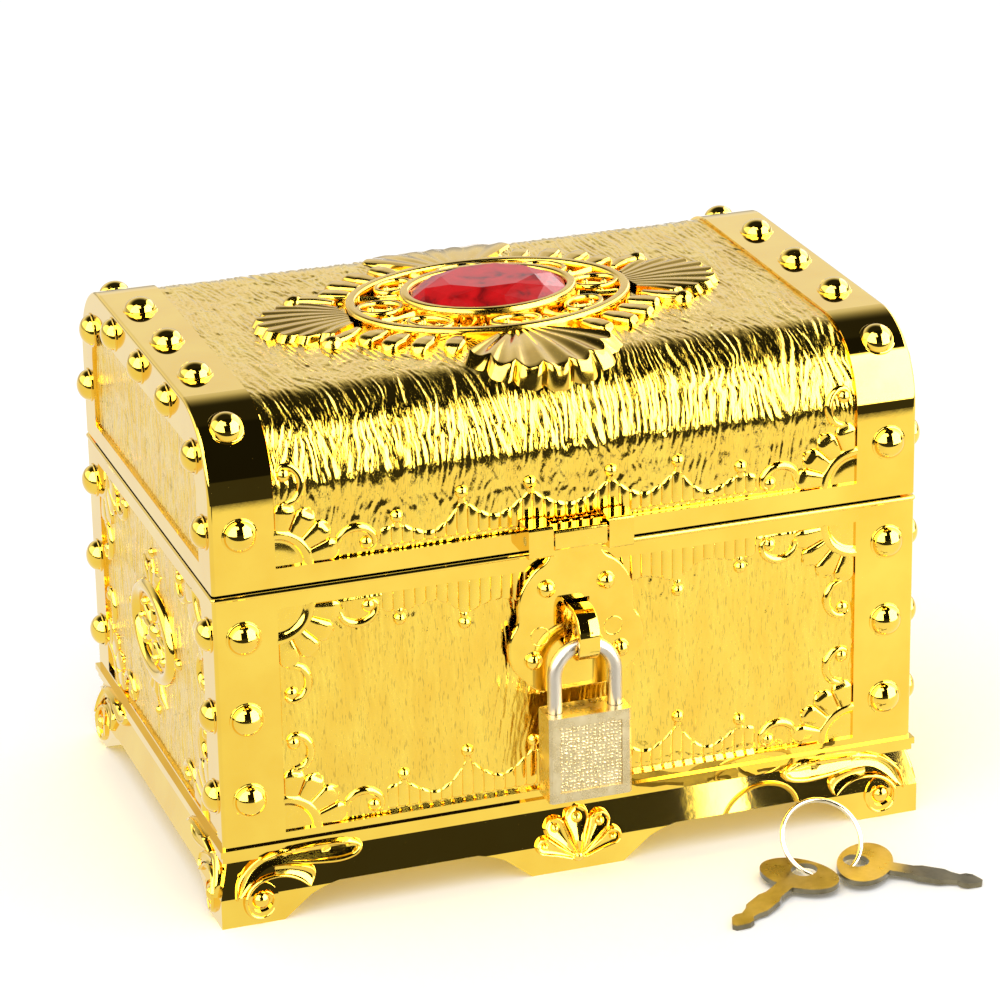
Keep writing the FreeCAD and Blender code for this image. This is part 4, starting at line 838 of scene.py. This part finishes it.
def medallion():
    """Bezel, eight loops of filigree, outer ring, four shells and leaf sprays."""
    r = Relief()
    shares = np.linspace(0.58, 1.0, 12)
    r.disc(shares, np.full(12, 0.3), segments=96, stretch=BED)
    r.sweep(oval(*RING, 48), 2.6, 2.9, closed=True, across=17, step=0.6, power=4.5)
    r.sweep(oval(*BEZEL, 48), 2.6, 4.4, closed=True, across=17, step=0.5, power=4.5)
    for k in range(8):
        a = k * math.pi / 4
        cu, cv = LOOPS[0] * math.cos(a), LOOPS[1] * math.sin(a)
        ring_a, ring_b = LOOP_SIZES[k % 4]
        slope = math.atan2(LOOPS[1] * math.cos(a), -LOOPS[0] * math.sin(a)) if k % 4 else 0.0
        loop = Relief()
        loop.sweep(oval(ring_a, ring_b, 20), 1.5, 2.7, closed=True, across=13, power=3.6)
        loop.sweep([(-ring_a * 0.62, -0.5), (-1.6, 0.9), (0, 0), (1.6, -0.9), (ring_a * 0.62, 0.5)],
                   [0.8, 1.1, 1.0, 1.1, 0.8], 2.0, sink=0.0, across=9)
        for side in (-1, 1):
            loop.bead(side * 1.9, -side * 0.75, 1.15, 2.6, sink=0.0)
        r.add(loop, shift=(cu, cv), turn=slope)
        b = a + math.pi / 8
        for d in (-0.11, 0.11):
            u, v = 25.4 * math.cos(b + d), 18.7 * math.sin(b + d)
            r.bead(u, v, 0.95, 2.2, sink=0.0, stretch=1.7, turn=b)
        r.sweep([(x * math.cos(b), y * math.sin(b)) for x, y in SPOKE], [1.6, 0.9, 1.6], [2.8, 2.3, 2.8],
                sink=0.0, across=7)
    for way in (-1, 1):
        for side in (-1, 1):
            for (x0, v0), (x1, v1) in SPRAY:
                path = [(side * x0, way * v0), (side * (x0 * 0.45 + x1 * 0.55), way * (v0 * 0.45 + v1 * 0.55)),
                        (side * x1, way * v1)]
                r.sweep(path, [2.8, 5.0, 4.0], [2.0, 2.3, 2.1], across=19, power=4.2)
            r.sweep([(side * x, way * v) for x, v in STEM], [1.6, 3.4, 3.0], [1.9, 2.2, 2.0], across=17, power=4.0)
            r.bead(side * STEM[-1][0], way * STEM[-1][1], 2.3, 2.5, stretch=1.15)
        shell(r, (way * SHELL_FOOT_X, 0), math.pi * (way < 0), **SIDE_SHELL)
        shell(r, (0, way * SHELL_FOOT_V), way * math.pi / 2, **(FRONT_SHELL if way < 0 else BACK_SHELL))
    return r


piece("medallion", medallion().mesh("medallion", lid_top), SATIN_SHADED_GOLD, "lid", ["lid_medallion"])


# Studs

def islands(obj):
    """The separate solids of a node, as arrays of places."""
    work = bmesh.new()
    work.from_mesh(obj.data)
    bmesh.ops.remove_doubles(work, verts=work.verts, dist=SAME_CORNER)
    seen, groups = set(), []
    for vert in work.verts:
        if vert in seen:
            continue
        stack, group = [vert], []
        seen.add(vert)
        while stack:
            one = stack.pop()
            group.append(one.co[:])
            for edge in one.link_edges:
                other = edge.other_vert(one)
                if other not in seen:
                    seen.add(other)
                    stack.append(other)
        groups.append(np.array(group))
    work.free()
    return groups


DOME_R, DOME_FOOT, DOME_START, DOME_SHARP = 0.895, 0.17, 0.14, 40.0
DOME = ((1.0, -0.02), (1.0, 0.085), (0.985, 0.105), (0.93, 0.11), (0.905, 0.125), (DOME_R, DOME_FOOT))


def stud_group(name, node, outward, material, body):
    """Smooth domes in place of a node's studs."""
    angles = np.linspace(0, 2 * math.pi, 41)
    lift = np.linspace(DOME_START, math.pi / 2, 12)
    low = math.sin(DOME_START)
    radii = [r for r, _ in DOME] + list(DOME_R * np.cos(lift) / math.cos(DOME_START))
    rises = [z for _, z in DOME] + list(DOME_FOOT + (1 - DOME_FOOT) * (np.sin(lift) - low) / (1 - low))
    points, quads, count = [], [], 0
    n, m = len(radii), len(angles)
    index = np.arange(n * m).reshape(n, m)
    block = np.stack([index[:-1, :-1], index[:-1, 1:], index[1:, 1:], index[1:, :-1]], -1).reshape(-1, 4)
    for group in islands(nodes[node]):
        middle = (group.min(0) + group.max(0)) / 2
        _, axes = np.linalg.eigh(np.cov((group - middle).T))
        axis = axes[:, 0] * np.sign(np.dot(axes[:, 0], outward(middle)))
        along = (group - middle) @ axis
        rest = (group - middle) - np.outer(along, axis)
        radius = np.linalg.norm(rest, axis=1).max()
        foot, height = along.min(), along.max() - along.min()
        side = np.cross(axis, (0.0, 0.6, 0.8) if abs(axis[0]) > 0.5 else (1.0, 0.0, 0.0))
        side /= np.linalg.norm(side)
        other = np.cross(axis, side)
        round_ = np.outer(np.cos(angles), side) + np.outer(np.sin(angles), other)
        rings = [middle + axis * (foot + height * z) + round_ * radius * q for q, z in zip(radii, rises)]
        points.append(np.concatenate(rings) / MM)
        quads.append(block + count)
        count += n * m
    mesh = make_mesh(name, np.concatenate(points), np.concatenate(quads), DOME_SHARP)
    piece(name, mesh, material, body, [node])


LID_MIDDLE_Z, LID_UP = 60.0, 1.2


def lid_away(middle):
    return np.array([middle[0], middle[1] - CENTRE_Y, max(middle[2] - LID_MIDDLE_Z * MM, 0) * LID_UP])


def box_away(middle):
    x, y = middle[0] / HALF_LENGTH, (middle[1] - CENTRE_Y) / HALF_DEPTH
    return np.array([x, y, 0.0])


stud_group("box_stud_domes", "box_studs", box_away, STUD, "box")
stud_group("lid_stud_domes", "lid_studs", lid_away, STUD, "lid")
stud_group("hasp_stud_domes", "hasp_studs", box_away, STUD, "hasp")


# Small fittings

RIM_Z, RIM_WIDTH, RIM_RISE = 75.6, 1.1, 0.3


def rim(half):
    """A round lip along the box's top edge."""
    r = Relief()
    r.sweep([(-half, RIM_Z), (0, RIM_Z), (half, RIM_Z)], RIM_WIDTH, RIM_RISE, across=11, step=8.0)
    return r


for name, half, surface in (("box_front_rim", HALF_LENGTH, front), ("box_left_rim", HALF_DEPTH, left_end),
                            ("box_right_rim", HALF_DEPTH, right_end)):
    piece(name, rim(half).mesh(name, lambda p: surface(p + np.array([0, 0, RECESS]))), GOLD, "box")

STAPLE_HALF, STRIP_HALF, STRIP_EDGE, STRIP_TIP = 2.35, 0.6, 0.25, 0.001
TAB_Y, TAB_TOP, TAB_BOTTOM, TAB_BEND = -50.0, 68.4, 48.6, 0.8
LOOP_TOP, LOOP_BOTTOM = 63.8, 53.2
UPPER_BEND, LOWER_BEND = ((-57.6, 58.5), 5.3), ((-59.1, 57.0), 3.8)


def arc(centre, radius, start, stop, count):
    """Points (y, z) on an arc; the angle runs from straight up towards the front."""
    turn = np.radians(np.linspace(start, stop, count))
    return [(centre[0] - radius * math.sin(t), centre[1] + radius * math.cos(t)) for t in turn]


def staple():
    """The bent strip that the shackle hangs in: round in front, clinched behind the wall."""
    upper_tab = (TAB_Y - TAB_BEND, LOOP_TOP + TAB_BEND)
    lower_tab = (TAB_Y - TAB_BEND, LOOP_BOTTOM - TAB_BEND)
    line = [(TAB_Y, TAB_TOP), (TAB_Y, TAB_TOP)] + arc(upper_tab, TAB_BEND, 270, 180, 6)
    line += arc(*UPPER_BEND, 0, 90, 25) + arc(*LOWER_BEND, 90, 180, 21)
    line += arc(lower_tab, TAB_BEND, 0, -90, 6) + [(TAB_Y, TAB_BOTTOM), (TAB_Y, TAB_BOTTOM)]
    line = np.array(line)
    along = np.gradient(line, axis=0)
    along[0], along[-1] = along[1], along[-2]
    along /= np.linalg.norm(along, axis=1)[:, None]
    side = np.stack([along[:, 1], -along[:, 0]], 1)
    ring = []
    for cx, cs, first in ((1, 1, 90), (1, -1, 0), (-1, -1, -90), (-1, 1, -180)):
        for degrees in np.linspace(first, first - 90, 5):
            t = math.radians(degrees)
            ring.append((cx * (STAPLE_HALF - STRIP_EDGE) + STRIP_EDGE * math.cos(t),
                         cs * (STRIP_HALF - STRIP_EDGE) + STRIP_EDGE * math.sin(t)))
    ring = np.array(ring + ring[:1])
    scale = np.ones(len(line))
    scale[[0, -1]] = STRIP_TIP
    x = scale[:, None] * ring[:, 0]
    off = scale[:, None] * ring[:, 1]
    y = line[:, :1] + side[:, :1] * off
    z = line[:, 1:] + side[:, 1:] * off
    r = Relief()
    r.grid(np.stack([x, y, z], -1))
    return r


def in_place(p):
    return p


piece("staple", staple().mesh("staple", in_place, 50.0), HASP, "box", ["lock_staple"])

CASE_PANEL_OUT, CASE_PANEL_X, CASE_PANEL_Z = 63.1, 7.15, (23.51, 38.91)
PEBBLE_PITCH = (0.96, 0.84)


def pebbles():
    """Short dashes at all angles, cast into the padlock's front panel."""
    rng = np.random.default_rng(31)
    r = Relief()
    for v in np.arange(CASE_PANEL_Z[0] + 0.6, CASE_PANEL_Z[1] - 0.4, PEBBLE_PITCH[1]):
        for u in np.arange(0.5 - CASE_PANEL_X, CASE_PANEL_X - 0.3, PEBBLE_PITCH[0]):
            shift = rng.uniform(-0.2, 0.2, 2)
            turn = rng.uniform(0, math.pi)
            reach = rng.uniform(0.15, 0.5)
            width, rise = rng.uniform(0.45, 0.7), rng.uniform(0.18, 0.3)
            step = np.array([math.cos(turn), math.sin(turn)]) * reach
            middle = np.array([u, v]) + shift
            r.sweep([middle - step, middle, middle + step], width, rise, sink=0.04, across=7, step=0.25)
    return r


piece("padlock_pebbles", pebbles().mesh("padlock_pebbles", upright(FRONT, CASE_PANEL_OUT)), BRASS, "padlock")

PLATE_OUT = 55.0
STAMP_X, STAMP_Z, STAMP_R = 8.4, 57.2, 2.1


stamps = Relief()
for stamp_side in (-1, 1):
    stamps.sweep(oval(STAMP_R, STAMP_R, 20, (stamp_side * STAMP_X, STAMP_Z)), 0.35, 0.07, sink=0.03, closed=True,
                 across=7, step=0.3)
piece("hasp_stamps", stamps.mesh("hasp_stamps", upright(FRONT, PLATE_OUT)), HASP, "hasp")


# Stage

FLOOR_RINGS = np.array([0.5, 60.0, 200.0, 600.0, 1600.0])
FLOOR_GREY, WHITE = 0.97, (1, 1, 1, 1)
SHEET_EDGE, SHEET_SOFT = -287.0, 4.0
SHEET_SPAN, SHEET_GLOW = (-100.0, 140.0), (0.93, 1.14)


def floor():
    """A round pale floor; polished metal sees its white sheet end in front of the chest."""
    r = Relief()
    r.disc(FLOOR_RINGS, np.zeros(len(FLOOR_RINGS)), segments=96)
    mesh = r.mesh("floor", lambda p: p * np.array([1, 1, 0]))
    obj = bpy.data.objects.new("floor", mesh)
    bpy.context.scene.collection.objects.link(obj)
    mat, tree, shader = new_material("floor_white")
    fill(tree, shader, {"Base Color": (FLOOR_GREY, FLOOR_GREY, FLOOR_GREY, 1), "Roughness": 0.9,
                        "Specular IOR Level": 0.0})
    x, y, _ = xyz_of(tree, object_place(tree))
    start, stop = ((SHEET_EDGE + soft) * MM + CENTRE_Y for soft in (-SHEET_SOFT, SHEET_SOFT))
    edge = in_range(tree, y, start, stop, smooth=True)
    shine = in_range(tree, x, *(place * MM for place in SHEET_SPAN), *SHEET_GLOW)
    glow = shader_node(tree, "Emission", {"Color": WHITE, "Strength": shine})
    clear = shader_node(tree, "BsdfTransparent", {})
    sheet = shader_node(tree, "MixShader", {"Fac": edge, 1: clear.outputs["BSDF"], 2: glow.outputs["Emission"]})
    glossy = shader_node(tree, "LightPath", {}).outputs["Is Glossy Ray"]
    mix = shader_node(tree, "MixShader", {"Fac": glossy, 1: shader.outputs["BSDF"], 2: sheet.outputs["Shader"]})
    fill(tree, tree.nodes["Material Output"], {"Surface": mix.outputs["Shader"]})
    mesh.materials.append(mat)


floor()

# What polished metal sees, by the x, y and z of a direction. Three numbers are a window with
# soft edges (from, to, softness), two are a ramp (from, to).
RIGHT_X, RIGHT_Z, RIGHT_GLOW = (0.320, 0.97, 0.012), (-0.16, 0.84, 0.04), 7.5
LOW_BAND, LOW_STRIP, LOW_GAP_END = (0.17, 0.14), ((0.331, 0.341), (0.3455, 0.3445)), (0.379, 0.383)
UNDER_BAND = (0.03, 0.0)
LEFT_X, LEFT_Z, LEFT_GLOW = (-1.1, -0.33, 0.03), (0.06, 0.80, 0.05), 5.0
LEFT_TOP_X, LEFT_TOP_Z = (-0.05, -0.10), (0.74, 0.96, 0.03)
NEAR_WALL_X, NEAR_WALL_Z, NEAR_WALL_GLOW = (-0.55, -0.65), (0.1, 0.97, 0.05), 2.0
FAR_WALL_X, FAR_WALL_Z, FAR_WALL_GLOW = (0.50, 0.58), (0.15, 0.85, 0.05), 3.5
BACK_WALL_Z, BACK_WALL_GLOW, BACK_WALL_LEAST = (0.80, 0.28), 0.90, 0.02
BACK_FOOT_Z, BACK_FOOT_GLOW = (0.0, 0.22), 0.55
FRONT_Y, FRONT_LEAST, FRONT_LOW = (0.05, -0.05), 0.010, 0.03


def world():
    """White to the eye and to matt surfaces; a studio with two softboxes to polished ones."""
    scene_world = bpy.data.worlds.new("studio")
    bpy.context.scene.world = scene_world
    scene_world.use_nodes = True
    scene_world.cycles.sampling_method = "NONE"
    tree = scene_world.node_tree

    def math_node(operation, a, b):
        node = tree.nodes.new("ShaderNodeMath")
        node.operation = operation
        return fill(tree, node, {0: a, 1: b}).outputs["Value"]

    plus, times, most = (partial(math_node, operation) for operation in ("ADD", "MULTIPLY", "MAXIMUM"))
    rest_of = partial(math_node, "SUBTRACT", 1.0)

    def ramp(value, low, high):
        return in_range(tree, value, low, high, smooth=True)

    def window(value, low, high, soft):
        return times(ramp(value, low, low + soft), ramp(value, high, high - soft))

    x, y, z = xyz_of(tree, shader_node(tree, "TexCoord", {}).outputs["Generated"])
    in_front = ramp(y, *FRONT_Y)
    low = ramp(z, *LOW_BAND)
    low_box = plus(times(ramp(x, *LOW_STRIP[0]), ramp(x, *LOW_STRIP[1])), ramp(x, *LOW_GAP_END))
    above = rest_of(times(low, rest_of(ramp(z, *UNDER_BAND))))
    cut = plus(above, times(rest_of(above), low_box))
    right_box = times(times(window(x, *RIGHT_X), window(z, *RIGHT_Z)), cut)
    left_box = most(times(window(x, *LEFT_X), window(z, *LEFT_Z)),
                    times(ramp(x, *LEFT_TOP_X), window(z, *LEFT_TOP_Z)))
    boxes = plus(times(right_box, RIGHT_GLOW), times(left_box, LEFT_GLOW))
    wall = plus(times(ramp(z, *BACK_WALL_Z), BACK_WALL_GLOW), BACK_WALL_LEAST)
    wall = times(wall, plus(times(ramp(z, *BACK_FOOT_Z), 1 - BACK_FOOT_GLOW), BACK_FOOT_GLOW))
    wall = most(wall, times(ramp(x, *NEAR_WALL_X), times(window(z, *NEAR_WALL_Z), NEAR_WALL_GLOW)))
    wall = most(wall, times(ramp(x, *FAR_WALL_X), times(window(z, *FAR_WALL_Z), FAR_WALL_GLOW)))
    front_glow = plus(boxes, plus(FRONT_LEAST, times(low, FRONT_LOW)))
    lit = plus(times(rest_of(in_front), wall), times(in_front, front_glow))
    glossy = shader_node(tree, "LightPath", {}).outputs["Is Glossy Ray"]
    strength = plus(rest_of(glossy), times(lit, glossy))
    fill(tree, tree.nodes["Background"], {"Color": WHITE, "Strength": strength})


world()

KEY_WATTS, KEY_SIZE, KEY_PLACE, KEY_AIM = 3.0, 0.8, (-0.25, -0.35, 0.95), (0, 0, 0.05)


def key_light():
    """A large soft lamp above the chest."""
    lamp = bpy.data.lights.new("key", "AREA")
    lamp.energy = KEY_WATTS
    lamp.size = KEY_SIZE
    obj = bpy.data.objects.new("key", lamp)
    obj.location = KEY_PLACE
    aim = Vector(KEY_AIM) - obj.location
    obj.rotation_euler = aim.to_track_quat("-Z", "Y").to_euler()
    obj.visible_glossy = False
    bpy.context.scene.collection.objects.link(obj)


key_light()


# Camera

CAMERA_AZIMUTH, CAMERA_ELEVATION, CAMERA_ROLL = (math.radians(d) for d in (-18.958, 21.683, -0.996))
CAMERA_DISTANCE = 968.439
CAMERA_TARGET = (1.962, 0.0, 66.937)
CAMERA_LENS, CAMERA_SENSOR, CAMERA_NEAR = 154.544, 36.0, 0.05


def camera():
    a, e, r = CAMERA_AZIMUTH, CAMERA_ELEVATION, CAMERA_ROLL
    toward = Vector((math.sin(a) * math.cos(e), -math.cos(a) * math.cos(e), math.sin(e)))
    right = (-toward).cross(Vector((0, 0, 1))).normalized()
    up = right.cross(-toward)
    right, up = right * math.cos(r) + up * math.sin(r), up * math.cos(r) - right * math.sin(r)
    data = bpy.data.cameras.new("camera")
    data.lens = CAMERA_LENS
    data.sensor_width = CAMERA_SENSOR
    data.clip_start = CAMERA_NEAR
    obj = bpy.data.objects.new("camera", data)
    bpy.context.scene.collection.objects.link(obj)
    target = Vector(CAMERA_TARGET) * MM + Vector((0, CENTRE_Y, 0))
    matrix = Matrix((right, up, toward)).transposed().to_4x4()
    matrix.translation = target + toward * CAMERA_DISTANCE * MM
    obj.matrix_world = matrix
    bpy.context.scene.camera = obj


camera()
bpy.context.scene.view_settings.view_transform = "Standard"
